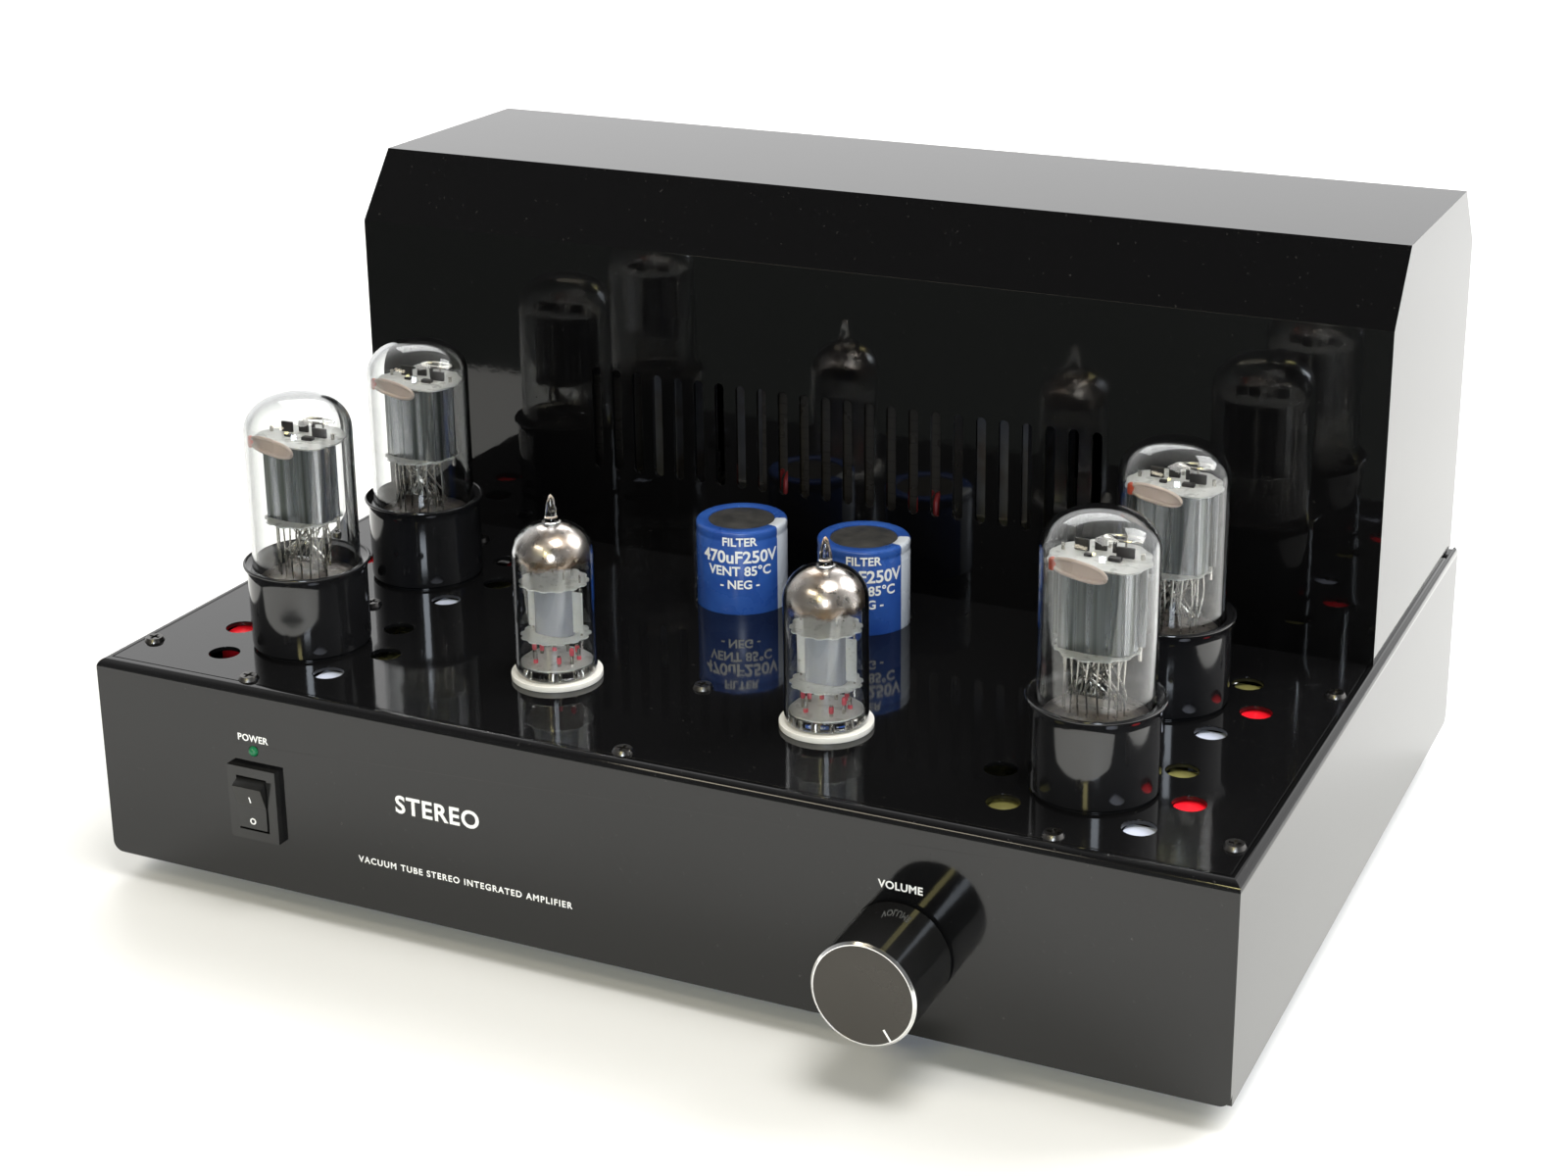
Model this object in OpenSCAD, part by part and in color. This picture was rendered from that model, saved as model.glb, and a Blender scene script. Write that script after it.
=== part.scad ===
// Stereo tube amplifier: a folded steel chassis with a deck of plug-in tubes in front
// and a slotted, bevelled cover over the transformers behind.
// Design frame: X to the right, Y from the front panel to the back, Z up from the floor.

/* [Chassis] */
// Width of the chassis
body_w = 320; // [290:1:400]
// Depth of the chassis, front panel to rear panel
body_d = 236; // [225:1:300]
// Height of the chassis, lower edge to deck
body_h = 57.5; // [54:0.5:75]
// Thickness of the sheet steel
sheet_t = 1.2; // [1:0.1:1.6]
// Outer radius of the folds
bend_r = 2.5; // [1.8:0.1:4]
// Width of the rim around the deck plate
rim_w = 3; // [2.5:0.1:5]
// Width of the ledge that carries the deck plate
ledge_w = 9; // [7:0.5:14]
// Radius of the lower corners of the walls
corner_r = 3; // [1:0.5:6]
// Height of the feet
foot_h = 8; // [5:0.5:15]
// Diameter of the feet
foot_d = 22; // [16:1:32]
// Distance of the feet from the walls
foot_inset = 36; // [25:1:60]

/* [Transformer cover] */
// Distance from the front panel to the front of the cover
cover_front = 134.5; // [130:0.5:150]
// Height of the cover above the deck
cover_h = 112.5; // [100:0.5:150]
// Step from the chassis sides and back to the cover
cover_inset = 2; // [1.5:0.1:5]
// Depth of the front bevel
bevel_front_d = 15; // [8:0.5:25]
// Height of the front bevel
bevel_front_h = 19.5; // [8:0.5:25]
// Depth of the back bevel
bevel_back_d = 14; // [8:0.5:25]
// Height of the back bevel
bevel_back_h = 17.5; // [8:0.5:25]
// Number of ventilation slots
slot_count = 24; // [8:1:34]
// Width of a ventilation slot
slot_w = 3; // [2:0.1:4]
// Length of a ventilation slot
slot_len = 31.5; // [20:0.5:50]
// Distance from slot to slot
slot_pitch = 6.83; // [5:0.01:8]
// Height of the slots' lower ends above the deck
slot_lift = 24; // [10:0.5:40]

/* [Power tubes] */
// Distance of the power tubes from the middle
power_x = 113.5; // [100:0.5:125]
// Distance of the front pair from the front panel
power_y = 34.5; // [33:0.5:38]
// Distance from the front pair to the back pair
power_pitch = 58; // [54:0.5:64]
// Height of a tube above the deck
power_h = 71; // [60:0.5:90]
// Diameter of the glass
power_glass_d = 29; // [24:0.5:32]
// Radius of the glass's shoulder
power_shoulder = 9; // [5:0.5:11]
// Height of the moulded base
base_h = 24; // [18:0.5:30]
// Diameter of the base at the deck
base_d = 32.4; // [31:0.2:36]
// Diameter of the base's flared rim
base_rim_d = 34.4; // [32:0.2:40]
// Diameter of the octal socket
octal_d = 30.6; // [28:0.2:34]

/* [Small tubes] */
// Distance of the small tubes from the middle
small_x = 39.5; // [30:0.5:60]
// Distance of the small tubes from the front panel
small_y = 41; // [30:0.5:60]
// Diameter of the glass
small_glass_d = 21.8; // [18:0.2:24]
// Height of the glass dome above the deck
small_h = 43; // [36:0.5:60]
// Radius of the glass's shoulder
small_shoulder = 8; // [5:0.5:8.5]
// Length of the sealed tip on the dome
tip_len = 8; // [4:0.5:12]
// Diameter of the ceramic socket
noval_d = 24.4; // [23:0.2:28]
// Height of the ceramic socket above the deck
noval_lift = 1.6; // [1:0.1:4]

/* [Filter capacitors] */
// Distance of the capacitors from the middle
filter_x = 19; // [15:0.5:40]
// Distance of the capacitors from the front panel
filter_y = 111; // [100:0.5:114]
// Diameter of a capacitor
filter_d = 26; // [20:0.5:30]
// Height of a capacitor above the deck
filter_h = 24.6; // [15:0.1:50]

/* [Deck] */
// Depth of the circuit board below the deck
board_drop = 12; // [11.5:0.5:16]
// Thickness of the circuit board
board_t = 1.6; // [1:0.1:2.4]
// Diameter of the openings around the power tubes
vent_d = 8.5; // [5:0.5:9]
// Distance of those openings from the tube's axis
vent_r = 24; // [21.5:0.5:26]
// Diameter of a screw's thread
screw_d = 3; // [2.5:0.5:4]
// Diameter of a screw's head
head_d = 5.6; // [5:0.1:7]
// Height of a screw's head
head_h = 1.1; // [1:0.1:2.4]

/* [Front controls] */
// Distance of the switch from the middle, to the left
switch_x = 109.5; // [90:0.5:130]
// Height of the switch's middle above the chassis edge
switch_z = 24.7; // [20:0.1:30]
// Width of the switch's frame
switch_w = 15.4; // [14:0.1:20]
// Height of the switch's frame
switch_h = 21; // [19:0.1:28]
// Thickness of the switch's frame
frame_t = 2; // [1:0.1:3]
// Width of the rocker
rocker_w = 9; // [7:0.1:11]
// Radius of the rocker's ends about its pivot
rocker_r = 7.5; // [6:0.1:8]
// Tilt of the rocker each way
rocker_tilt = 9; // [5:0.5:12]
// Height of the lamp above the chassis edge
lamp_z = 39.4; // [37:0.1:41]
// Diameter of the lamp
lamp_d = 3; // [2:0.1:5]
// Distance of the volume knob from the middle, to the right
knob_x = 77.5; // [50:0.5:110]
// Height of the knob's axis above the chassis edge
knob_z = 22; // [20:0.1:30]
// Diameter of the knob
knob_d = 27; // [20:0.5:36]
// Length of the knob
knob_len = 22; // [14:0.5:30]
// Gap between the knob and the front panel
knob_gap = 0.5; // [0.5:0.1:3]
// Diameter of the shaft
shaft_d = 6; // [5:0.5:8]
// Clock angle of the pointer, clockwise from the top
pointer_angle = 146; // [0:1:300]

/* [Rear connectors] */
// Distance of the power inlet from the middle, to the left
inlet_x = 112; // [60:0.5:130]
// Distance of the input jacks' middle from the middle, to the right
jack_x = 112; // [70:0.5:125]
// Distance from jack to jack
jack_pitch = 20; // [16:0.5:30]
// Diameter of a jack's barrel
jack_d = 8.3; // [8.2:0.05:8.5]
// Length of a jack's barrel
jack_len = 9.5; // [8:0.5:12]
// Distance from speaker post to speaker post
post_pitch = 19; // [16:0.5:24]
// Gap between the left and right groups of speaker posts
post_gap = 34; // [24:1:50]
// Diameter of a speaker post's stud
stud_d = 7; // [6.4:0.1:9]
// Length of a speaker post behind the panel
post_len = 20; // [16:0.5:28]
// Diameter of a speaker post's cap
cap_d = 12; // [11:0.5:16]
// Diameter of the banana plug's hole
banana_d = 4.1; // [4.02:0.01:4.2]

/* [Transformers] */
// Width of the power transformer
mains_w = 96; // [76:1:114]
// Height of the power transformer
mains_h = 80; // [60:1:90]
// Stack of the power transformer
mains_stack = 42; // [25:1:50]
// Distance of the output transformers from the middle
output_x = 104; // [98:1:114]
// Width of an output transformer
output_w = 66; // [50:1:72]
// Height of an output transformer
output_h = 56; // [40:1:70]
// Stack of an output transformer
output_stack = 28; // [16:1:34]

/* [Hidden] */
$fn = 64;

fit_gap = 0.4;       // around pieces that drop into openings
slip_gap = 0.08;     // radial gap of a pin in its contact
turn_gap = 0.06;     // radial gap of a shaft in its bushing
thread_gap = 0.05;   // radial gap of a screw in its hole
seat_gap = 0.3;      // lifts a tube off the deck, onto its socket
over = 1;            // extra length of a cutting tool

deck_z = foot_h + body_h;                 // top of the deck
board_z = deck_z - board_drop;            // top of the circuit board
cover_back = body_d - cover_inset;        // back of the cover
post_reach = post_len;                    // furthest point behind the rear panel
knob_reach = knob_gap + knob_len;         // furthest point in front of the front panel
middle_y = (body_d + post_reach - knob_reach) / 2;
inner_w = body_w - 2 * sheet_t;
power_back_y = power_y + power_pitch;
screw_step = power_pitch / 2;             // screws lie halfway between the power tubes

power_places = [
    [-power_x, power_y], [power_x, power_y],
    [-power_x, power_back_y], [power_x, power_back_y]
];
board_screws = [
    for (x = [-power_x, power_x], row = [-1, 1, 3]) [x, power_y + row * screw_step],
    [0, power_y - screw_step],
    [0, power_y + screw_step / 2]
];
rim_screw_in = 3.4;                       // rim screws inward of the rim
rim_screw_front = 17;                     // front pair of rim screws behind the front panel
rim_screw_back = 111;                     // back pair of rim screws behind the front panel
rim_x = body_w / 2 - rim_w - rim_screw_in;
rim_screws = [for (x = [-rim_x, rim_x], y = [rim_screw_front, rim_screw_back]) [x, y]];
cover_flange = 10;                        // the cover's turned-in lower flanges
cover_screw_end = 16;                     // cover screws inward of the cover's ends
cover_screw_x = body_w / 2 - cover_inset - sheet_t - cover_flange * 0.55;
cover_screws = [
    for (x = [-cover_screw_x, cover_screw_x], y = [cover_front + cover_screw_end, cover_back - cover_screw_end])
        [x, y]
];
rear_flange = 10;                         // the rear panel's turned-in upper flange
rear_screw_end = 25;                      // outer rear screws inward of the chassis sides
rear_screws = [
    for (x = [-body_w / 2 + rear_screw_end, 0, body_w / 2 - rear_screw_end])
        [x, cover_back - sheet_t - rear_flange / 2]
];
bottom_flange = 12;
bottom_screw_in = 7;
bottom_screws = [
    for (x = [-body_w / 2 + bottom_screw_in, body_w / 2 - bottom_screw_in],
         y = [2 * bottom_screw_in, body_d / 2, body_d - 20])
        [x, y]
];
foot_places = [
    for (x = [-body_w / 2 + foot_inset, body_w / 2 - foot_inset], y = [foot_inset, body_d - foot_inset])
        [x, y]
];
foot_screw_d = 4;
foot_bore_d = 8.4;
foot_recess = 3.5;

vent_angles = [0, 45, 135, 180, 225, 315];
octal_pin_d = 2.36;
octal_pin_len = 11;
octal_circle_d = 17.45;
octal_key_d = 7.9;
octal_key_len = 14;
glass_wall = 1;
cup_floor = 3;
noval_pin_d = 1.02;
noval_pin_len = 7;
noval_circle_d = 11.89;
noval_pin_step = 36;

clamp_t = 1.5;
clamp_leg = 9;
mains_y = (cover_front + cover_back) / 2;
bolt_d = 4;

bushing_d = 7;
bushing_len = 6;
pot_d = 22;
pot_depth = 11;
rear_y = body_d - sheet_t;                // inside face of the rear panel
connector_z = foot_h + body_h * 0.47;
inlet_w = 30;
inlet_h = 38;
inlet_body_w = 27.5;
inlet_body_h = 33;
inlet_depth = 26;
inlet_flange_t = 2;
recess_w = 24.6;
recess_h = 16.4;
recess_depth = 17;
recess_lift = 5.4;                        // recess above the inlet's middle
drawer_w = 22;
drawer_h = 8;
drawer_len = 21;
drawer_drop = 9.6;                        // drawer below the inlet's middle
fuse_d = 5.2;
fuse_len = 17;
post_places = [
    for (side = [-1, 1], k = [0, 1]) side * post_gap / 2 + side * k * post_pitch
];

// Moves a piece from the design frame to the middle of the amplifier's footprint.
module placed() {
    translate([0, -middle_y, 0])
        children();
}

// A cylinder along Y, from y0 to y1.
module along_y(d, y0, y1) {
    translate([0, y0, 0])
        rotate([-90, 0, 0])
            cylinder(d = d, h = y1 - y0);
}

// A block given by its middle in x, its y and z ranges.
module block(w, y0, y1, z0, z1) {
    translate([-w / 2, y0, z0])
        cube([w, y1 - y0, z1 - z0]);
}

// A rectangle with two rounded upper corners, centred in x and standing on y = 0.
module folded_outline(w, h, r) {
    translate([-w / 2, 0])
        square([w, h - r]);
    translate([-w / 2 + r, 0])
        square([w - 2 * r, h]);
    for (x = [-w / 2 + r, w / 2 - r])
        translate([x, h - r])
            circle(r);
}

// Solid of the folded chassis, inset by t from its outer faces.
module folded_body(t, r) {
    intersection() {
        translate([0, t, foot_h - over])
            rotate([90, 0, 0])
                mirror([0, 0, 1])
                    linear_extrude(body_d + over)
                        folded_outline(body_w - 2 * t, body_h + over - t, r);
        translate([-body_w / 2, body_d + over, foot_h - over])
            rotate([90, 0, 90])
                linear_extrude(body_w)
                    translate([-(body_d + over) / 2 + t / 2, 0])
                        folded_outline(body_d + over - t, body_h + over - t, r);
    }
}

// Holes for screws through a sheet, at each place.
module screw_holes(places, z, gap) {
    for (p = places)
        translate([p[0], p[1], z - over])
            cylinder(d = screw_d + 2 * gap, h = 2 * over + 2 * sheet_t);
}

// A pan-head screw with a cross recess; its head stands on z = 0 and its thread goes down.
module pan_screw(len, d, head) {
    difference() {
        union() {
            cylinder(d1 = head, d2 = head * 0.8, h = head_h);
            translate([0, 0, -len])
                cylinder(d = d, h = len);
        }
        for (a = [0, 90])
            rotate([0, 0, a])
                translate([-head * 0.28, -0.4, head_h * 0.4])
                    cube([head * 0.56, 0.8, head_h]);
    }
}

module ring(outer, inner, h) {
    difference() {
        cylinder(d = outer, h = h);
        translate([0, 0, -over])
            cylinder(d = inner, h = h + 2 * over);
    }
}

// ---- chassis ----

// A frame of sheet running around the inside of the tray, open at the back.
module sheet_frame(outer_gap, width, z) {
    difference() {
        block(body_w - 2 * outer_gap, outer_gap, body_d, z, z + sheet_t);
        block(body_w - 2 * (outer_gap + width), outer_gap + width, body_d + over, z - over, z + sheet_t + over);
    }
}

module chassis_tray() {
    color("#1b1b1a")
        placed()
            difference() {
                union() {
                    difference() {
                        intersection() {
                            folded_body(0, bend_r);
                            block(body_w, 0, body_d, foot_h, deck_z);
                        }
                        folded_body(sheet_t, bend_r - sheet_t);
                        block(
                            body_w - 2 * rim_w, rim_w, body_d + over,
                            deck_z - sheet_t - over, deck_z + over
                        );
                    }
                    sheet_frame(sheet_t, rim_w + ledge_w - sheet_t, deck_z - 2 * sheet_t);
                    sheet_frame(sheet_t, bottom_flange, foot_h + sheet_t);
                }
                rear_notch();
                wall_corners();
                front_openings();
                screw_holes(rim_screws, deck_z - 2 * sheet_t, thread_gap);
                screw_holes(cover_screws, deck_z - 2 * sheet_t, fit_gap / 2);
                screw_holes(bottom_screws, foot_h + sheet_t, thread_gap);
                for (p = board_screws)
                    translate([p[0], p[1], deck_z - 2 * sheet_t - over])
                        cylinder(d = pillar_d + fit_gap, h = 2 * over + sheet_t);
            }
}

// The ledge stops short of the rear panel's flange, and the lower flange short of the panel.
module rear_notch() {
    depth = sheet_t + fit_gap + rear_flange;
    block(inner_w, body_d - depth, body_d + over, deck_z - 2 * sheet_t - over, deck_z + over);
    block(inner_w, body_d - sheet_t - fit_gap, body_d + over, foot_h - over, deck_z);
}

// Rounds the lower corners of the front wall and the lower back corners of the sides.
module wall_corners() {
    for (side = [-1, 1])
        translate([side * body_w / 2, 0, foot_h])
            corner_cut()
                translate([-side * corner_r, 0, corner_r])
                    rotate([-90, 0, 0])
                        translate([0, 0, -2 * over])
                            cylinder(r = corner_r, h = 4 * over + sheet_t);
    for (side = [-1, 1])
        translate([side * (body_w / 2 - sheet_t / 2), body_d, foot_h])
            difference() {
                cube([sheet_t + 2 * over, 2 * corner_r, 2 * corner_r], center = true);
                translate([0, -corner_r, corner_r])
                    rotate([0, 90, 0])
                        cylinder(r = corner_r, h = sheet_t + 4 * over, center = true);
            }
}

module corner_cut() {
    difference() {
        translate([-corner_r, -over, -corner_r])
            cube([2 * corner_r, over + sheet_t, 2 * corner_r]);
        children();
    }
}

module front_openings() {
    translate([-switch_x, 0, foot_h + switch_z])
        cube([switch_body_w + fit_gap, 4 * sheet_t, switch_body_h + fit_gap], center = true);
    translate([-switch_x, 0, foot_h + lamp_z])
        along_y(lamp_d + fit_gap / 4, -over, sheet_t + over);
    translate([knob_x, 0, foot_h + knob_z])
        along_y(bushing_d + fit_gap, -over, sheet_t + over);
}

deck_w = body_w - 2 * (rim_w + fit_gap);

module deck_plate() {
    color("#0c0d0e")
        placed()
            difference() {
                block(deck_w, rim_w + fit_gap, body_d, deck_z - sheet_t, deck_z);
                for (p = power_places)
                    translate([p[0], p[1], deck_z - sheet_t - over]) {
                        cylinder(d = octal_d + 2 * fit_gap, h = sheet_t + 2 * over);
                        for (a = vent_angles)
                            rotate([0, 0, a])
                                translate([vent_r, 0, 0])
                                    cylinder(d = vent_d, h = sheet_t + 2 * over);
                    }
                for (x = [-small_x, small_x])
                    translate([x, small_y, deck_z - sheet_t - over])
                        cylinder(d = noval_d - 2, h = sheet_t + 2 * over);
                for (x = [-filter_x, filter_x])
                    translate([x, filter_y, deck_z - sheet_t - over])
                        cylinder(d = filter_d + 2 * fit_gap, h = sheet_t + 2 * over);
                for (p = grommet_places)
                    translate([p[0], p[1], deck_z - sheet_t - over])
                        cylinder(d = grommet_d, h = sheet_t + 2 * over);
                screw_holes(board_screws, deck_z - sheet_t, fit_gap / 2);
                screw_holes(rim_screws, deck_z - sheet_t, fit_gap / 2);
                screw_holes(cover_screws, deck_z - sheet_t, fit_gap / 2);
                screw_holes(rear_screws, deck_z - sheet_t, fit_gap / 2);
                screw_holes(clamp_screws, deck_z - sheet_t, fit_gap / 2);
            }
}

module rear_panel() {
    color("#1b1b1a")
        placed()
            difference() {
                union() {
                    block(
                        inner_w - 2 * fit_gap, rear_y, body_d,
                        foot_h + sheet_t + fit_gap, deck_z - sheet_t
                    );
                    block(
                        inner_w - 2 * fit_gap, rear_y - rear_flange, body_d,
                        deck_z - 2 * sheet_t, deck_z - sheet_t
                    );
                }
                translate([-inlet_x, rear_y, connector_z])
                    cube([inlet_body_w + fit_gap, 4 * sheet_t, inlet_body_h + fit_gap], center = true);
                for (side = [-1, 1])
                    translate([jack_x + side * jack_pitch / 2, 0, connector_z])
                        along_y(jack_d + 2 * fit_gap, rear_y - over, body_d + over);
                for (x = post_places)
                    translate([x, 0, connector_z])
                        along_y(stud_d + 2 * fit_gap, rear_y - over, body_d + over);
                screw_holes(rear_screws, deck_z - 2 * sheet_t, thread_gap);
            }
}

plate_slots = 14;
plate_slot_len = 60;
plate_slot_pitch = 10;

module bottom_plate() {
    gap = sheet_t + fit_gap;
    color("#2a2a29")
        placed()
            difference() {
                block(body_w - 2 * gap, gap, rear_y, foot_h, foot_h + sheet_t);
                for (row = [0.32, 0.68], k = [0 : plate_slots - 1])
                    translate([(k - (plate_slots - 1) / 2) * plate_slot_pitch, body_d * row, foot_h - over])
                        slot(slot_w, plate_slot_len, sheet_t + 2 * over);
                screw_holes(bottom_screws, foot_h, fit_gap / 2);
                for (p = foot_places)
                    translate([p[0], p[1], foot_h - over])
                        cylinder(d = foot_screw_d + 2 * thread_gap, h = sheet_t + 2 * over);
            }
}

// A slot with round ends, long along Y, centred, standing on z = 0.
module slot(w, len, h) {
    for (side = [-1, 1])
        translate([0, side * (len - w) / 2, 0])
            cylinder(d = w, h = h);
    translate([-w / 2, -(len - w) / 2, 0])
        cube([w, len - w, h]);
}

module feet() {
    color("#181818")
        placed()
            for (p = foot_places)
                translate([p[0], p[1], 0])
                    difference() {
                        cylinder(d1 = foot_d - 3, d2 = foot_d, h = foot_h);
                        translate([0, 0, -over])
                            cylinder(d = foot_bore_d, h = foot_recess + over);
                        translate([0, 0, -over])
                            cylinder(d = foot_screw_d + fit_gap, h = foot_h + 2 * over);
                    }
}

module foot_screws() {
    color("silver")
        placed()
            for (p = foot_places)
                translate([p[0], p[1], foot_recess])
                    mirror([0, 0, 1])
                        pan_screw(foot_h - foot_recess + 5, foot_screw_d, foot_bore_d - 2 * fit_gap);
}

module screws_down(places, z, len) {
    for (p = places)
        translate([p[0], p[1], z])
            pan_screw(len, screw_d, head_d);
}

module screws_up(places, z, len) {
    for (p = places)
        translate([p[0], p[1], z])
            mirror([0, 0, 1])
                pan_screw(len, screw_d, head_d);
}

module panel_screws() {
    color("#3a3a38")
        placed() {
            screws_down(board_screws, deck_z, 6);
            screws_up(board_screws, board_z - board_t, 4);
            screws_down(rim_screws, deck_z, 6);
            screws_up(cover_screws, deck_z - 2 * sheet_t, 6);
            screws_down(rear_screws, deck_z, 6);
            screws_up(bottom_screws, foot_h, 6);
            screws_up(clamp_screws, deck_z - sheet_t, sheet_t + clamp_t + 0.2);
        }
}

// ---- transformer cover ----

// Side view of the cover, y to the right and z up, inset by t.
module cover_outline(t) {
    run_f = bevel_front_d;
    rise_f = bevel_front_h;
    run_b = bevel_back_d;
    rise_b = bevel_back_h;
    // the bevels move in by t measured square to their faces
    slide_f = t * (sqrt(run_f * run_f + rise_f * rise_f) - run_f) / rise_f;
    slide_b = t * (sqrt(run_b * run_b + rise_b * rise_b) - run_b) / rise_b;
    drop_f = t * (sqrt(run_f * run_f + rise_f * rise_f) - rise_f) / run_f;
    drop_b = t * (sqrt(run_b * run_b + rise_b * rise_b) - rise_b) / run_b;
    polygon([
        [cover_front + t, 0],
        [cover_front + t, cover_h - rise_f - drop_f],
        [cover_front + run_f + slide_f, cover_h - t],
        [cover_back - run_b - slide_b, cover_h - t],
        [cover_back - t, cover_h - rise_b - drop_b],
        [cover_back - t, 0]
    ]);
}

module cover_prism(t, z) {
    half = body_w / 2 - cover_inset - t;
    translate([-half, 0, z])
        rotate([90, 0, 90])
            linear_extrude(2 * half)
                cover_outline(t);
}

module transformer_cover() {
    inner_half = body_w / 2 - cover_inset - sheet_t;
    color("#101010")
        placed()
            difference() {
                union() {
                    difference() {
                        cover_prism(0, deck_z);
                        translate([0, 0, -over])
                            cover_prism(sheet_t, deck_z);
                        block(
                            2 * inner_half, cover_front + sheet_t, cover_back - sheet_t,
                            deck_z - over, deck_z + 2 * over
                        );
                    }
                    for (side = [-1, 1])
                        translate([side * (inner_half - cover_flange / 2), 0, 0])
                            block(
                                cover_flange, cover_front + sheet_t, cover_back - sheet_t,
                                deck_z, deck_z + sheet_t
                            );
                }
                for (k = [0 : slot_count - 1])
                    translate([
                        (k - (slot_count - 1) / 2) * slot_pitch,
                        cover_front - over,
                        deck_z + slot_lift + slot_len / 2
                    ])
                        rotate([-90, 0, 0])
                            slot(slot_w, slot_len, sheet_t + 2 * over);
                screw_holes(cover_screws, deck_z, thread_gap);
            }
}

// ---- transformers ----

// Laminated core: a block with two windows, its stack along Y, standing on z = 0.
module core(w, h, stack) {
    leg = w / 3;
    limb = w / 6;
    difference() {
        block(w, -stack / 2, stack / 2, 0, h);
        for (side = [-1, 1])
            translate([side * (leg / 2 + limb / 2), 0, 0])
                block(limb, -stack / 2 - over, stack / 2 + over, limb, h - limb);
        for (x = [-w / 2 + limb / 2, w / 2 - limb / 2], z = [limb / 2, h - limb / 2])
            translate([x, 0, z])
                along_y(bolt_d + fit_gap, -stack / 2 - over, stack / 2 + over);
    }
}

// Winding on its bobbin, around the middle leg of a core.
module coil(w, h, stack) {
    leg = w / 3;
    limb = w / 6;
    wall = 1.5;
    outer_w = leg + 2 * limb - 2 * fit_gap;
    outer_d = stack + 2 * limb - 2 * fit_gap;
    z0 = limb + fit_gap;
    z1 = h - limb - fit_gap;
    difference() {
        union() {
            for (z = [z0, z1 - wall])
                block(outer_w, -outer_d / 2, outer_d / 2, z, z + wall);
            block(outer_w - 2, -outer_d / 2 + 1, outer_d / 2 - 1, z0, z1);
        }
        block(leg + fit_gap, -stack / 2 - fit_gap / 2, stack / 2 + fit_gap / 2, z0 - over, z1 + over);
    }
}

// Angle strips that clamp the lower edge of a core and stand on the deck.
module clamp_pair(w, stack) {
    limb = w / 6;
    for (side = [-1, 1])
        scale_y(side)
            difference() {
                union() {
                    block(w, stack / 2, stack / 2 + clamp_t, 0, limb - fit_gap);
                    block(w, stack / 2, stack / 2 + clamp_leg, 0, clamp_t);
                }
                for (x = [-w / 2 + limb / 2, w / 2 - limb / 2]) {
                    translate([x, 0, limb / 2])
                        along_y(bolt_d + fit_gap, stack / 2 - over, stack / 2 + clamp_t + over);
                    translate([x, stack / 2 + clamp_leg - 4, -over])
                        cylinder(d = screw_d + 2 * thread_gap, h = clamp_t + 2 * over);
                }
            }
}

module scale_y(side) {
    if (side < 0)
        mirror([0, 1, 0])
            children();
    else
        children();
}

// The two lower and two upper bolts of a core, with heads and nuts.
module core_bolts(w, h, stack) {
    limb = w / 6;
    for (x = [-w / 2 + limb / 2, w / 2 - limb / 2], z = [limb / 2, h - limb / 2]) {
        grip = z < h / 2 ? clamp_t : 0;
        translate([x, 0, z]) {
            along_y(bolt_d, -stack / 2 - grip - 5, stack / 2 + grip + 1);
            along_y(bolt_d * 1.75, stack / 2 + grip, stack / 2 + grip + 2.5);
            translate([0, -stack / 2 - grip - 3, 0])
                rotate([-90, 0, 0])
                    cylinder(d = bolt_d * 1.9, h = 3, $fn = 6);
        }
    }
}

module at_mains() {
    translate([0, mains_y, deck_z])
        children();
}

module at_output(side) {
    translate([side * output_x, mains_y, deck_z])
        children();
}

function clamp_points(x, w, stack) = [
    for (sx = [-1, 1], sy = [-1, 1])
        [x + sx * (w / 2 - w / 12), mains_y + sy * (stack / 2 + clamp_leg - 4)]
];
clamp_screws = concat(
    clamp_points(0, mains_w, mains_stack),
    clamp_points(-output_x, output_w, output_stack),
    clamp_points(output_x, output_w, output_stack)
);

module mains_core() {
    color("#6b6d70")
        placed()
            at_mains()
                core(mains_w, mains_h, mains_stack);
}

module mains_coil() {
    color("#b8862d")
        placed()
            at_mains()
                coil(mains_w, mains_h, mains_stack);
}

module output_core(side) {
    color("#6b6d70")
        placed()
            at_output(side)
                core(output_w, output_h, output_stack);
}

module output_coil(side) {
    color("#b8862d")
        placed()
            at_output(side)
                coil(output_w, output_h, output_stack);
}

module core_clamps() {
    color("#9a9c9e")
        placed() {
            at_mains()
                clamp_pair(mains_w, mains_stack);
            for (side = [-1, 1])
                at_output(side)
                    clamp_pair(output_w, output_stack);
        }
}

module transformer_bolts() {
    color("silver")
        placed() {
            at_mains()
                core_bolts(mains_w, mains_h, mains_stack);
            for (side = [-1, 1])
                at_output(side)
                    core_bolts(output_w, output_h, output_stack);
        }
}

// ---- leads ----

grommet_d = 11;
lead_d = 1.8;
lead_spread = 2.6;
grommet_y = cover_front + sheet_t + grommet_d / 2 + 2.5;
grommet_places = [for (x = [-output_x, -24, 24, output_x]) [x, grommet_y]];

module lead_grommets() {
    groove = 0.5;
    color("#141414")
        placed()
            for (p = grommet_places)
                translate([p[0], p[1], deck_z - sheet_t - 1.2])
                    difference() {
                        union() {
                            cylinder(d = grommet_d + 3, h = 1.2);
                            cylinder(d = grommet_d - groove / 10, h = sheet_t + 2.4);
                            translate([0, 0, sheet_t + 1.2])
                                cylinder(d = grommet_d + 3, h = 1.2);
                        }
                        translate([0, 0, -over])
                            cylinder(d = grommet_d - 3, h = 2 * over + sheet_t + 2.4);
                    }
}

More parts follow.
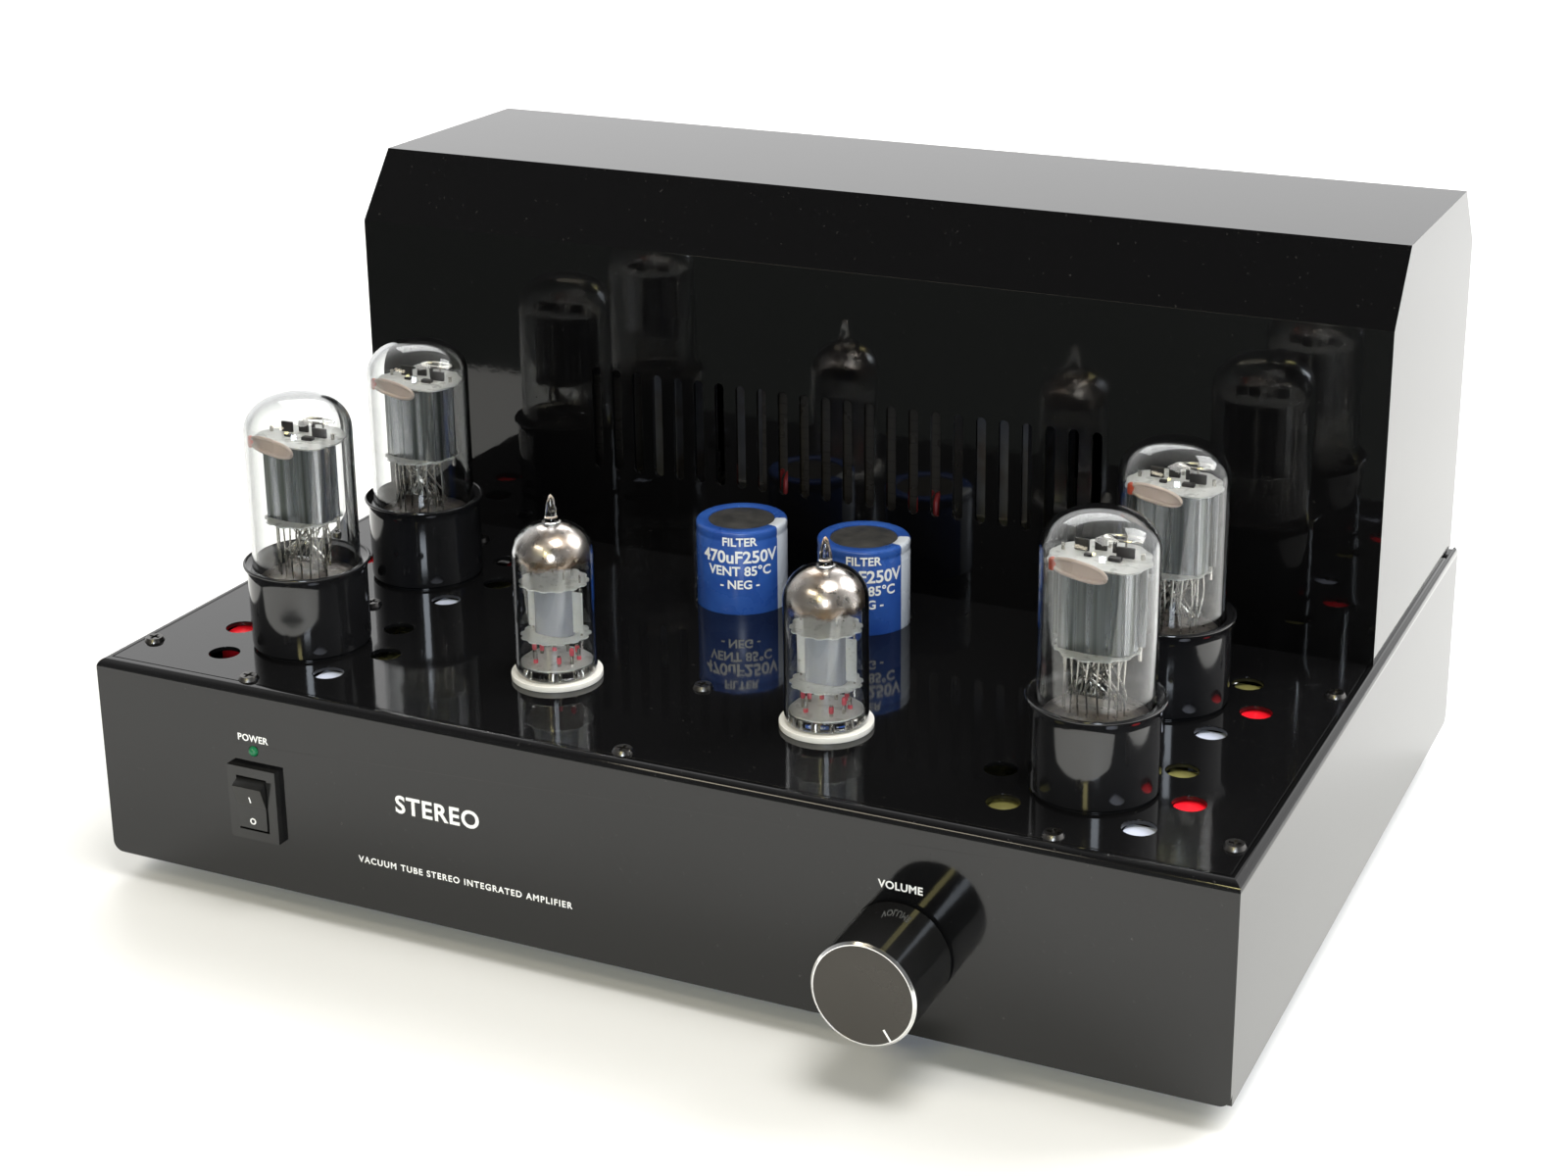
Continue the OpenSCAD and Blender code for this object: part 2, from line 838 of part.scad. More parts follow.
// A wire through points that share one x: a ring of corners square to the route at each point,
// and walls from ring to ring.
module wire(points, d) {
    sides = 8;
    last = len(points) - 1;
    across = [1, 0, 0];
    rings = [
        for (k = [0 : last])
            let (run = points[min(k + 1, last)] - points[max(k - 1, 0)])
            let (up = cross(run / norm(run), across))
            for (s = [0 : sides - 1])
                points[k] + d / 2 * (cos(360 * s / sides) * across + sin(360 * s / sides) * up)
    ];
    walls = [
        for (k = [0 : last - 1], s = [0 : sides - 1])
            let (next = (s + 1) % sides)
            [k * sides + s, k * sides + next, (k + 1) * sides + next, (k + 1) * sides + s]
    ];
    first_end = [for (s = [sides - 1 : -1 : 0]) s];
    last_end = [for (s = [0 : sides - 1]) last * sides + s];
    polyhedron(points = rings, faces = concat(walls, [first_end, last_end]));
}

// Three leads to a grommet: out of the coil, down through the deck and forward to the board's edge.
module transformer_leads() {
    color("#b03030")
        placed()
            for (p = grommet_places, side = [-1, 0, 1]) {
                big = abs(p[0]) < output_x;
                stack = big ? mains_stack : output_stack;
                limb = (big ? mains_w : output_w) / 6;
                coil_front = mains_y - stack / 2 - limb + fit_gap + 1;
                x = p[0] + side * lead_spread;
                wire([
                    [x, coil_front - 0.1, deck_z + limb + 10],
                    [x, coil_front - 1.5, deck_z + limb + 10],
                    [x, coil_front - 3, deck_z + limb + 8.5],
                    [x, p[1] + 0.6, deck_z + 9],
                    [x, p[1], deck_z + 5],
                    [x, p[1], deck_z - 3],
                    [x, p[1] - 1, deck_z - 5.5],
                    [x, p[1] - 4, board_z + 4],
                    [x, board_back - 1, board_z + 3],
                    [x, board_back - 2.6, board_z + 2],
                    [x, board_back - 3, board_z + 0.05]
                ], lead_d);
            }
}

// ---- circuit board ----

pillar_d = 6;
board_front = sheet_t + 1;
board_back = power_back_y + screw_step + 6;
board_side = power_x + 34;

module circuit_board() {
    color("#1f5a34")
        placed()
            difference() {
                block(2 * board_side, board_front, board_back, board_z - board_t, board_z);
                for (p = board_screws)
                    translate([p[0], p[1], board_z - board_t - over])
                        cylinder(d = screw_d + fit_gap, h = board_t + 2 * over);
                for (p = power_places)
                    translate([p[0], p[1], board_z - board_t - over])
                        cylinder(d = octal_key_d + 4 * fit_gap, h = board_t + 2 * over);
            }
}

module board_pillars() {
    color("#b9bbbd")
        placed()
            for (p = board_screws)
                translate([p[0], p[1], board_z])
                    ring(pillar_d, screw_d + 2 * thread_gap, board_drop - sheet_t);
}

module octal_sockets() {
    color("#1c1c1c")
        placed()
            for (p = power_places)
                translate([p[0], p[1], board_z])
                    difference() {
                        cylinder(d = octal_d, h = board_drop + seat_gap);
                        translate([0, 0, -over])
                            cylinder(d = octal_key_d + 2 * fit_gap, h = board_drop + 3 * over);
                        octal_pins(-over, board_drop + 2 * over, octal_pin_d + 2 * slip_gap);
                    }
}

// Eight pins on the octal circle, from z0 to z1.
module octal_pins(z0, z1, d) {
    for (k = [0 : 7])
        rotate([0, 0, 22.5 + 45 * k])
            translate([octal_circle_d / 2, 0, z0])
                cylinder(d = d, h = z1 - z0, $fn = 32);
}

// Nine pins on the noval circle, from z0 to z1, with a gap at the front.
module noval_pins(z0, z1, d) {
    for (k = [1 : 9])
        rotate([0, 0, -90 + noval_pin_step * k])
            translate([noval_circle_d / 2, 0, z0])
                cylinder(d = d, h = z1 - z0, $fn = 32);
}

module noval_sockets() {
    neck_d = noval_d - 2 - 2 * fit_gap;
    color("#e6dfcb")
        placed()
            for (x = [-small_x, small_x])
                translate([x, small_y, 0])
                    difference() {
                        union() {
                            translate([0, 0, board_z])
                                cylinder(d = neck_d, h = board_drop);
                            translate([0, 0, deck_z])
                                cylinder(d = noval_d, h = noval_lift);
                        }
                        noval_pins(board_z - over, deck_z + noval_lift + over, noval_pin_d + 2 * slip_gap);
                        translate([0, 0, board_z - over])
                            cylinder(d = 5, h = board_drop + noval_lift + 2 * over);
                    }
}

// An upright can with a rolled groove below its top and a scored vent.
module filter_capacitor(side) {
    total = board_drop + filter_h;
    groove_z = total - 2.6;
    color("#27509c")
        placed()
            translate([side * filter_x, filter_y, board_z])
                difference() {
                    cylinder(d = filter_d, h = total);
                    translate([0, 0, total - 0.5])
                        cylinder(d = filter_d - 6, h = over);
                    translate([0, 0, groove_z])
                        rotate_extrude()
                            translate([filter_d / 2 + 0.5, 0])
                                circle(r = 0.9, $fn = 32);
                }
}

part_room = board_drop - sheet_t;         // between the board and the deck plate
part_w = 9;
red_len = 14;
red_drop = 0.5;                           // tops of the parts below the deck plate
yellow_drop = 1.2;
white_drop = 0.8;
small_part_len = 9.5;
small_part_front = 4;                     // parts begin this far in front of an opening's middle

// Places of the small parts that stand under a power tube's openings.
module under_vents(places, angles) {
    for (p = places, a = angles)
        translate([p[0] + vent_r * cos(a), p[1] + vent_r * sin(a), board_z])
            children();
}

module red_capacitors() {
    color("#c3202b")
        placed() {
            under_vents([power_places[0], power_places[2]], [180])
                red_capacitor();
            under_vents([power_places[1], power_places[3]], [0])
                red_capacitor();
        }
}

module red_capacitor() {
    block(part_w, -small_part_front, red_len - small_part_front, 0, part_room - red_drop);
}

module yellow_capacitors() {
    color("#a59a3c")
        placed()
            under_vents([power_places[1], power_places[3]], [45, 225])
                block(part_w, -small_part_front, small_part_len - small_part_front, 0, part_room - yellow_drop);
}

module white_resistors() {
    color("#cfd3dc")
        placed()
            under_vents(power_places, [315])
                block(part_w, -small_part_front, small_part_len - small_part_front, 0, part_room - white_drop);
}

// ---- power tubes ----

module at_power(k) {
    translate([power_places[k][0], power_places[k][1], deck_z + seat_gap])
        children();
}

// Moulded base: a cup with a flared rim, eight pins and the keyed spigot.
module power_base(k) {
    cup_d = power_glass_d + 2 * slip_gap;
    color("#15110f")
        placed()
            at_power(k) {
                difference() {
                    union() {
                        cylinder(d = base_d, h = base_h * 0.8);
                        translate([0, 0, base_h * 0.8])
                            cylinder(d1 = base_d, d2 = base_rim_d, h = base_h * 0.2);
                    }
                    translate([0, 0, cup_floor])
                        cylinder(d = cup_d, h = base_h);
                }
                octal_pins(-octal_pin_len, cup_floor / 2, octal_pin_d);
                translate([0, 0, -octal_key_len])
                    cylinder(d = octal_key_d, h = octal_key_len + cup_floor / 2);
            }
}

// Upright envelope seen in half section: straight wall and a rounded dome.
module dome_profile(r, h, dome) {
    square([r, h - dome]);
    square([r - dome, h]);
    translate([r - dome, h - dome])
        circle(dome);
}

power_glass_h = power_h - seat_gap - cup_floor - 0.2;
power_dome = min(power_shoulder, power_glass_d / 2 - 1);

module power_glass(k) {
    r = power_glass_d / 2;
    color("#dfe6e8", 0.35)
        placed()
            at_power(k)
                translate([0, 0, cup_floor + 0.2])
                    difference() {
                        rotate_extrude()
                            intersection() {
                                dome_profile(r, power_glass_h, power_dome);
                                square([r, power_glass_h]);
                            }
                        translate([0, 0, glass_wall])
                            rotate_extrude()
                                intersection() {
                                    dome_profile(
                                        r - glass_wall, power_glass_h - 2 * glass_wall,
                                        power_dome - glass_wall
                                    );
                                    square([r, power_glass_h]);
                                }
                    }
}

cage_low = 33;                   // lower mica above the deck
cage_high = power_h - 13.5;      // upper mica above the deck

// Electrode cage: stem, rods, two mica discs, plate and getter ring.
module power_cage(k) {
    mica_d = power_glass_d - 2 * glass_wall - 1.6;
    floor_z = cup_floor + 0.2 + glass_wall + 0.1;
    plate_w = mica_d * 0.68;
    plate_t = mica_d * 0.42;
    color("#8e9194")
        placed()
            at_power(k) {
                translate([0, 0, floor_z])
                    cylinder(d1 = mica_d * 0.62, d2 = mica_d * 0.3, h = 17);
                for (z = [cage_low, cage_high])
                    translate([0, 0, z])
                        cylinder(d = mica_d, h = 0.6);
                block(plate_w, -plate_t / 2, plate_t / 2, cage_low, cage_high);
                for (x = [-plate_w / 2 - 1, plate_w / 2 + 1])
                    translate([x, 0, cage_low - 6])
                        cylinder(d = 1.2, h = cage_high - cage_low + 9, $fn = 24);
                for (x = [-4, 4])
                    translate([x, 0, floor_z + 10])
                        cylinder(d = 1.2, h = cage_low - floor_z - 9, $fn = 24);
                translate([-plate_w * 0.3, -3, cage_high])
                    cylinder(d = 1, h = 3.4, $fn = 24);
                translate([-plate_w * 0.3, -3, cage_high + 3])
                    ring(7, 4.6, 0.8);
                translate([-plate_w * 0.3 - 0.4, -5.9, cage_high + 3])
                    cube([0.8, 3.2, 0.8]);
            }
}

// ---- small tubes ----

module at_small(side) {
    translate([side * small_x, small_y, deck_z + noval_lift])
        children();
}

button_t = 3;
small_glass_h = small_h - noval_lift;
small_dome = min(small_shoulder, small_glass_d / 2 - 1);

module small_glass(side) {
    r = small_glass_d / 2;
    wall = 0.9;
    color("#dfe6e8", 0.35)
        placed()
            at_small(side)
                difference() {
                    union() {
                        rotate_extrude()
                            intersection() {
                                dome_profile(r, small_glass_h, small_dome);
                                square([r, small_glass_h]);
                            }
                        translate([0, 0, small_glass_h - 0.6])
                            cylinder(d1 = 5, d2 = 1, h = tip_len + 0.6);
                    }
                    translate([0, 0, button_t])
                        rotate_extrude()
                            intersection() {
                                dome_profile(r - wall, small_glass_h - button_t - wall, small_dome - wall);
                                square([r, small_glass_h]);
                            }
                    noval_pins(-over, button_t + over, noval_pin_d + 2 * thread_gap);
                }
}

module small_cage(side) {
    mica_d = small_glass_d - 3.4;
    low = 11;
    high = small_glass_h - 13;
    color("#8e9194")
        placed()
            at_small(side) {
                noval_pins(-noval_pin_len, button_t + 2.4, noval_pin_d);
                translate([0, 0, button_t + 2])
                    cylinder(d = noval_circle_d + 2 * noval_pin_d, h = 0.8);
                for (z = [low, high])
                    translate([0, 0, z])
                        cylinder(d = mica_d, h = 0.6);
                block(mica_d * 0.66, -mica_d * 0.2, mica_d * 0.2, low, high);
                for (x = [-3.6, 3.6])
                    translate([x, 0, button_t + 2])
                        cylinder(d = 1.2, h = high - button_t, $fn = 24);
                translate([0, 0, high])
                    cylinder(d = 1, h = 4.4, $fn = 24);
                translate([0, 0, high + 4])
                    cylinder(d = 7.5, h = 0.8);
            }
}

// ---- front controls ----

switch_body_w = switch_w - 2.4;
switch_body_h = switch_h - 2;
switch_depth = 19;
pivot_y = 0.3;
pivot_d = 2;
rocker_side_gap = 0.3;
cavity_w = rocker_w + 2 * rocker_side_gap;
cavity_h = 2 * (rocker_r + 0.35);
cavity_depth = rocker_r + 1.2;

module at_switch() {
    translate([-switch_x, 0, foot_h + switch_z])
        children();
}

module switch_housing() {
    color("#1a1a1a")
        placed()
            at_switch() {
                difference() {
                    union() {
                        block(switch_w, -frame_t, 0, -switch_h / 2, switch_h / 2);
                        block(switch_body_w, -frame_t / 2, switch_depth, -switch_body_h / 2, switch_body_h / 2);
                    }
                    block(cavity_w, -frame_t - over, pivot_y + cavity_depth, -cavity_h / 2, cavity_h / 2);
                    translate([-cavity_w / 2 - 1, pivot_y, 0])
                        rotate([0, 90, 0])
                            cylinder(d = pivot_d + 2 * turn_gap, h = cavity_w + 2);
                }
                for (z = [-5, 5])
                    block(4.8, switch_depth - over, switch_depth + 7, z - 0.4, z + 0.4);
            }
}

// Rocker about its pivot: round ends and two flat paddles that meet in a shallow valley.
module switch_rocker() {
    valley = frame_t + 0.5 + pivot_y;
    ridge = valley + rocker_r * tan(rocker_tilt);
    heel = rocker_r * 0.5;
    color("#151515")
        placed()
            at_switch()
                translate([0, pivot_y, 0])
                    rotate([rocker_tilt, 0, 0]) {
                        translate([-rocker_w / 2, 0, 0])
                            rotate([90, 0, 90])
                                linear_extrude(rocker_w)
                                    intersection() {
                                        circle(rocker_r);
                                        polygon([
                                            [-valley, 0],
                                            [-ridge, rocker_r],
                                            [heel, rocker_r],
                                            [heel, -rocker_r],
                                            [-ridge, -rocker_r]
                                        ]);
                                    }
                        translate([-cavity_w / 2 - 0.7, 0, 0])
                            rotate([0, 90, 0])
                                cylinder(d = pivot_d, h = cavity_w + 1.4);
                    }
}

module power_lamp() {
    dome = lamp_d / 2;
    color("#2e7d4f")
        placed()
            translate([-switch_x, 0, foot_h + lamp_z]) {
                along_y(lamp_d, dome - 1.2, 5);
                translate([0, dome - 1.2, 0])
                    sphere(d = lamp_d);
                along_y(lamp_d + 0.8, sheet_t + 1.8, sheet_t + 2.8);
            }
}

module at_knob() {
    translate([knob_x, 0, foot_h + knob_z])
        children();
}

module volume_pot() {
    color("#8b8d90")
        placed()
            at_knob()
                difference() {
                    union() {
                        along_y(pot_d, sheet_t, sheet_t + pot_depth);
                        along_y(bushing_d, sheet_t - bushing_len, sheet_t + over);
                        for (x = [-5, 0, 5])
                            translate([x, 0, 0])
                                block(1.2, sheet_t + 2, sheet_t + 2.8, -pot_d / 2 - 4, 0);
                    }
                    along_y(shaft_d + 2 * turn_gap, -bushing_len, sheet_t + pot_depth - 2);
                }
}

nut_h = 2.2;

module pot_nut() {
    color("silver")
        placed()
            at_knob()
                translate([0, -nut_h, 0])
                    rotate([-90, 0, 0])
                        difference() {
                            cylinder(d = 11.5, h = nut_h, $fn = 6);
                            translate([0, 0, -over])
                                cylinder(d = bushing_d + 2 * thread_gap, h = nut_h + 2 * over);
                        }
}

shaft_end = -knob_gap - knob_len + 6;

module volume_shaft() {
    color("#c9c9c4")
        placed()
            at_knob()
                along_y(shaft_d, shaft_end, sheet_t + pot_depth - 3);
}

knob_recess = 6;
grub_d = 3;

module volume_knob() {
    bevel = 0.9;
    nut_room = 16;
    color("#262625")
        placed()
            at_knob()
                difference() {
                    union() {
                        along_y(knob_d, -knob_gap - knob_len + bevel, -knob_gap);
                        translate([0, -knob_gap - knob_len + bevel, 0])
                            rotate([90, 0, 0])
                                cylinder(d1 = knob_d, d2 = knob_d - 2 * bevel, h = bevel);
                    }
                    along_y(nut_room, -knob_gap - knob_recess, 0);
                    along_y(shaft_d + 2 * thread_gap, shaft_end - 0.5, 0);
                    grub_bore(grub_d + 2 * thread_gap, knob_d / 2 + over);
                    rotate([0, pointer_angle, 0])
                        translate([-0.5, -knob_gap - knob_len - over, knob_d * 0.34])
                            cube([1, over + 0.3, knob_d * 0.1]);
                }
}

// Radial bore opposite the pointer, from the shaft outwards.
module grub_bore(d, reach) {
    rotate([0, pointer_angle + 180, 0])
        translate([0, -knob_gap - knob_recess - 4, shaft_d / 2 + thread_gap])
            cylinder(d = d, h = reach - shaft_d / 2, $fn = 32);
}

module knob_grub_screw() {
    color("#303030")
        placed()
            at_knob()
                grub_bore(grub_d, shaft_d / 2 + 6);
}

// ---- rear connectors ----

module at_inlet() {
    translate([-inlet_x, rear_y, connector_z])
        children();
}

// Power inlet with a recess for the plug, three blades and a fuse drawer below.
module power_inlet() {
    flange_y = sheet_t + inlet_flange_t;
    recess_floor = flange_y - recess_depth;
    color("#202020")
        placed()
            at_inlet() {
                difference() {
                    union() {
                        block(inlet_w, sheet_t, flange_y, -inlet_h / 2, inlet_h / 2);
                        block(inlet_body_w, -inlet_depth + flange_y, flange_y, -inlet_body_h / 2, inlet_body_h / 2);
                    }
                    translate([0, 0, recess_lift])
                        block(recess_w, recess_floor, flange_y + over, -recess_h / 2, recess_h / 2);
                    translate([0, 0, -drawer_drop])
                        block(
                            drawer_w + 0.6, flange_y - drawer_len - 0.3, flange_y + over,
                            -drawer_h / 2 - 0.3, drawer_h / 2 + 0.3
                        );
                }
                for (p = [[-7, -2], [7, -2], [0, 2]])
                    translate([p[0], 0, recess_lift + p[1]])
                        block(2, recess_floor - 4 - inlet_depth + recess_depth, recess_floor + 12.2, -2, 2);
            }
}

module fuse_drawer() {
    flange_y = sheet_t + inlet_flange_t;
    color("#1b1b1b")
        placed()
            at_inlet()
                translate([0, flange_y, -drawer_drop])
                    difference() {
                        union() {
                            block(drawer_w, -drawer_len, 0, -drawer_h / 2, drawer_h / 2);
                            block(drawer_w + 2, 0.2, 1.4, -drawer_h / 2 - 0.8, drawer_h / 2 + 0.8);
                            block(drawer_w, -over, 0.3, -drawer_h / 2, drawer_h / 2);
                        }
                        translate([-fuse_len / 2 - 0.2, -drawer_len / 2, 0])
                            block_pocket();
                    }
}

// Trough for the fuse, open upwards.
module block_pocket() {
    translate([0, -fuse_d / 2 - 0.2, -fuse_d / 2 - 0.2])
        cube([fuse_len + 0.4, fuse_d + 0.4, drawer_h + over]);
}

module mains_fuse() {
    flange_y = sheet_t + inlet_flange_t;
    color("#d9d9d2")
        placed()
            at_inlet()
                translate([-fuse_len / 2, flange_y - drawer_len / 2, -drawer_drop - 0.2])
                    rotate([0, 90, 0])
                        cylinder(d = fuse_d, h = fuse_len);
}

module input_jacks() {
    collar_d = 12;
    color("#d8b45a")
        placed()
            for (side = [-1, 1])
                translate([jack_x + side * jack_pitch / 2, body_d, connector_z])
                    difference() {
                        union() {
                            along_y(collar_d, 0, 2);
                            along_y(jack_d, -sheet_t - 8, jack_len + 2);
                            along_y(collar_d, -sheet_t - 2, -sheet_t);
                        }
                        along_y(3.4, -2, jack_len + 2 + over);
                    }
}

module at_post(k) {
    translate([post_places[k], body_d, connector_z])
        children();
}

post_collar = 4;
banana_depth = 13;

module speaker_posts() {
    color("#c9a24a")
        placed()
            for (k = [0 : 3])
                at_post(k)
                    difference() {
                        union() {
                            along_y(cap_d + 1, 0, post_collar);
                            along_y(stud_d, -sheet_t - 12, post_len);
                            along_y(cap_d + 1, -sheet_t - 3, -sheet_t);
                        }
                        along_y(banana_d, post_len - banana_depth, post_len + over);
                        translate([0, post_collar + 1.5, 0])
                            cylinder(d = 2, h = cap_d, center = true, $fn = 32);
                    }
}

// Knurled cap that screws along the post's stud.
module post_cap(k) {
    ribs = 24;
    start = post_collar + 4;
    color(k == 0 || k == 3 ? "#b3202a" : "#1a1a1a")
        placed()
            at_post(k)
                difference() {
                    along_y(cap_d, start, post_len - 0.6);
                    along_y(stud_d + 2 * turn_gap, start - over, post_len + over);
                    for (a = [0 : ribs - 1])
                        rotate([0, a * 360 / ribs, 0])
                            translate([0, 0, cap_d / 2 + 0.15])
                                along_y(0.9, start + 1.2, post_len - 1.8, $fn = 16);
                }
}

chassis_tray();
deck_plate();
rear_panel();
bottom_plate();
feet();
foot_screws();
panel_screws();
transformer_cover();
mains_core();
mains_coil();
output_core(-1);  // output_core_left
output_core(1);  // output_core_right
output_coil(-1);  // output_coil_left
output_coil(1);  // output_coil_right
core_clamps();
transformer_bolts();
lead_grommets();
transformer_leads();
circuit_board();
board_pillars();
octal_sockets();
noval_sockets();
filter_capacitor(-1);  // filter_capacitor_left
filter_capacitor(1);  // filter_capacitor_right
red_capacitors();
yellow_capacitors();
white_resistors();
power_base(0);  // power_base_1
power_base(1);  // power_base_2
power_base(2);  // power_base_3
power_base(3);  // power_base_4
power_glass(0);  // power_glass_1
power_glass(1);  // power_glass_2
power_glass(2);  // power_glass_3
power_glass(3);  // power_glass_4
power_cage(0);  // power_cage_1
power_cage(1);  // power_cage_2
power_cage(2);  // power_cage_3
power_cage(3);  // power_cage_4
small_glass(-1);  // small_glass_left
small_glass(1);  // small_glass_right
small_cage(-1);  // small_cage_left
small_cage(1);  // small_cage_right
switch_housing();
switch_rocker();
power_lamp();
volume_pot();
pot_nut();
volume_shaft();
volume_knob();
knob_grub_screw();
power_inlet();
fuse_drawer();
mains_fuse();
input_jacks();
speaker_posts();
post_cap(0);  // post_cap_1
post_cap(1);  // post_cap_2
post_cap(2);  // post_cap_3
post_cap(3);  // post_cap_4
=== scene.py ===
import math
import bmesh
import bpy
import numpy as np
from mathutils import Matrix, Vector


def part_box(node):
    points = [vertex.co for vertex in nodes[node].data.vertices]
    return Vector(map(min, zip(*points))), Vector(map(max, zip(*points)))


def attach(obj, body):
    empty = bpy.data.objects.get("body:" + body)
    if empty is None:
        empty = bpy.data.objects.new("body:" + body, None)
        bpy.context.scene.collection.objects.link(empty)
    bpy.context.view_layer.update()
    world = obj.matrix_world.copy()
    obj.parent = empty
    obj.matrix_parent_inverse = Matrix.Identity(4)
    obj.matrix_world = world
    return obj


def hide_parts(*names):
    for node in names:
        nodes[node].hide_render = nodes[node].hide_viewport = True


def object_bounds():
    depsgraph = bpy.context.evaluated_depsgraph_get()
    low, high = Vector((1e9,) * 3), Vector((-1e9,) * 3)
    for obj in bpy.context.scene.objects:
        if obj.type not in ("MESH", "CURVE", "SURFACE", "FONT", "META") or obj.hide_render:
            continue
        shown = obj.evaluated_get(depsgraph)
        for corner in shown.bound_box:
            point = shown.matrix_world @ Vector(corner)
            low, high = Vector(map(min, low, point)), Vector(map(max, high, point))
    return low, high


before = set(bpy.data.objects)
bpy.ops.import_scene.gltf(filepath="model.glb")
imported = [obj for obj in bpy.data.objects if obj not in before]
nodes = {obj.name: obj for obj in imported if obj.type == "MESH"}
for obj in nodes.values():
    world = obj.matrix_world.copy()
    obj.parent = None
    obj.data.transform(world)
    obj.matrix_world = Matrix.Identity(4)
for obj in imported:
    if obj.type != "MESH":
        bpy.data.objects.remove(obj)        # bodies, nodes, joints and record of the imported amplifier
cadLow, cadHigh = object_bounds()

mm = 0.001
turn = 2 * math.pi
scene = bpy.context.scene


def span(node):
    # low corner, high corner and middle of a CAD node, as arrays
    low, high = (np.array(corner, float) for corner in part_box(node))
    return low, high, (low + high) / 2


# camera

cameraPlace = {
    "at": (293.2, -625.7, 339.5),      # millimetres, to the right of the amplifier and above it
    "yaw": 24.347, "pitch": 17.890, "roll": -0.219,
    "sensor": 36.0, "lens": 59.47425, "shift": (-0.0375, -0.1), "clip": (0.02, 60),
}


def makeCamera(place):
    # turned left by yaw, down by pitch, then rolled about its own axis
    data = bpy.data.cameras.new("camera")
    data.sensor_width = place["sensor"]
    data.lens = place["lens"]
    data.shift_x, data.shift_y = place["shift"]
    data.clip_start, data.clip_end = place["clip"]
    camera = bpy.data.objects.new("camera", data)
    scene.collection.objects.link(camera)
    yaw = Matrix.Rotation(math.radians(place["yaw"]), 4, "Z")
    pitch = Matrix.Rotation(math.radians(90 - place["pitch"]), 4, "X")
    roll = Matrix.Rotation(math.radians(place["roll"]), 4, "Z")
    camera.matrix_world = Matrix.Translation(Vector(place["at"]) * mm) @ yaw @ pitch @ roll
    scene.camera = camera


makeCamera(cameraPlace)
print("camera placed")


# node materials

class Shade:
    # one Principled material and the few node steps that every finish here uses

    def __init__(self, name, colour, roughness, metallic=0.0, **sockets):
        self.material = bpy.data.materials.new(name)
        self.material.use_nodes = True
        self.tree = self.material.node_tree
        self.shader = self.tree.nodes["Principled BSDF"]
        self.set("Base Color", (*colour, 1))
        self.set("Roughness", roughness)
        self.set("Metallic", metallic)
        for socket, value in sockets.items():
            self.set(socket, value)
        self.place = self.tree.nodes.new("ShaderNodeTexCoord")

    def set(self, socket, value):
        self.shader.inputs[socket].default_value = value

    def link(self, source, target):
        self.tree.links.new(source, target)

    def mapping(self, scale=(1, 1, 1), offset=(0, 0, 0)):
        node = self.tree.nodes.new("ShaderNodeMapping")
        node.inputs["Scale"].default_value = scale
        node.inputs["Location"].default_value = offset
        self.link(self.place.outputs["Object"], node.inputs["Vector"])
        return node.outputs["Vector"]

    def noise(self, scale, detail=3.0, roughness=0.5, stretch=(1, 1, 1)):
        node = self.tree.nodes.new("ShaderNodeTexNoise")
        node.inputs["Scale"].default_value = scale
        node.inputs["Detail"].default_value = detail
        node.inputs["Roughness"].default_value = roughness
        self.link(self.mapping(stretch), node.inputs["Vector"])
        return node.outputs["Fac"]

    def wave(self, scale, direction, profile="SIN"):
        node = self.tree.nodes.new("ShaderNodeTexWave")
        node.wave_profile = profile
        node.bands_direction = direction
        node.inputs["Scale"].default_value = scale
        self.link(self.place.outputs["Object"], node.inputs["Vector"])
        return node.outputs["Fac"]

    def remap(self, value, low, high, outLow, outHigh):
        node = self.tree.nodes.new("ShaderNodeMapRange")
        numbers = {"From Min": low, "From Max": high, "To Min": outLow, "To Max": outHigh}
        for socket, number in numbers.items():
            node.inputs[socket].default_value = number
        self.link(value, node.inputs["Value"])
        return node.outputs["Result"]

    def math(self, operation, first, second):
        node = self.tree.nodes.new("ShaderNodeMath")
        node.operation = operation
        for socket, value in zip(node.inputs, (first, second)):
            if isinstance(value, (int, float)):
                socket.default_value = value
            else:
                self.link(value, socket)
        return node.outputs["Value"]

    def mix(self, factor, first, second):
        node = self.tree.nodes.new("ShaderNodeMix")
        node.data_type = "RGBA"
        self.link(factor, node.inputs["Factor"])
        for socket, value in (("A", first), ("B", second)):
            target = [s for s in node.inputs if s.name == socket and s.type == "RGBA"][0]
            if isinstance(value, tuple):
                target.default_value = (*value, 1)
            else:
                self.link(value, target)
        return [s for s in node.outputs if s.type == "RGBA"][0]

    def height(self):
        node = self.tree.nodes.new("ShaderNodeSeparateXYZ")
        self.link(self.place.outputs["Object"], node.inputs["Vector"])
        return node.outputs["Z"]

    def colour(self, value):
        self.link(value, self.shader.inputs["Base Color"])

    def rough(self, value):
        self.link(value, self.shader.inputs["Roughness"])

    def bump(self, height, strength, distance=0.001):
        node = self.tree.nodes.new("ShaderNodeBump")
        node.inputs["Strength"].default_value = strength
        node.inputs["Distance"].default_value = distance
        self.link(height, node.inputs["Height"])
        self.link(node.outputs["Normal"], self.shader.inputs["Normal"])


def blackEnamel():
    # gloss stove enamel: smudges in the gloss, a trace of dust and orange peel
    shade = Shade("blackEnamel", (0.004, 0.004, 0.0043), 0.05)
    smudge = shade.noise(9, 5, 0.62)
    shade.rough(shade.remap(smudge, 0.42, 0.72, 0.035, 0.11))
    dust = shade.remap(shade.noise(900, 2), 0.70, 0.78, 0, 1)
    shade.colour(shade.mix(dust, (0.004, 0.004, 0.0043), (0.035, 0.034, 0.032)))
    shade.bump(shade.noise(420, 2), 0.018, 0.0004)
    return shade.material


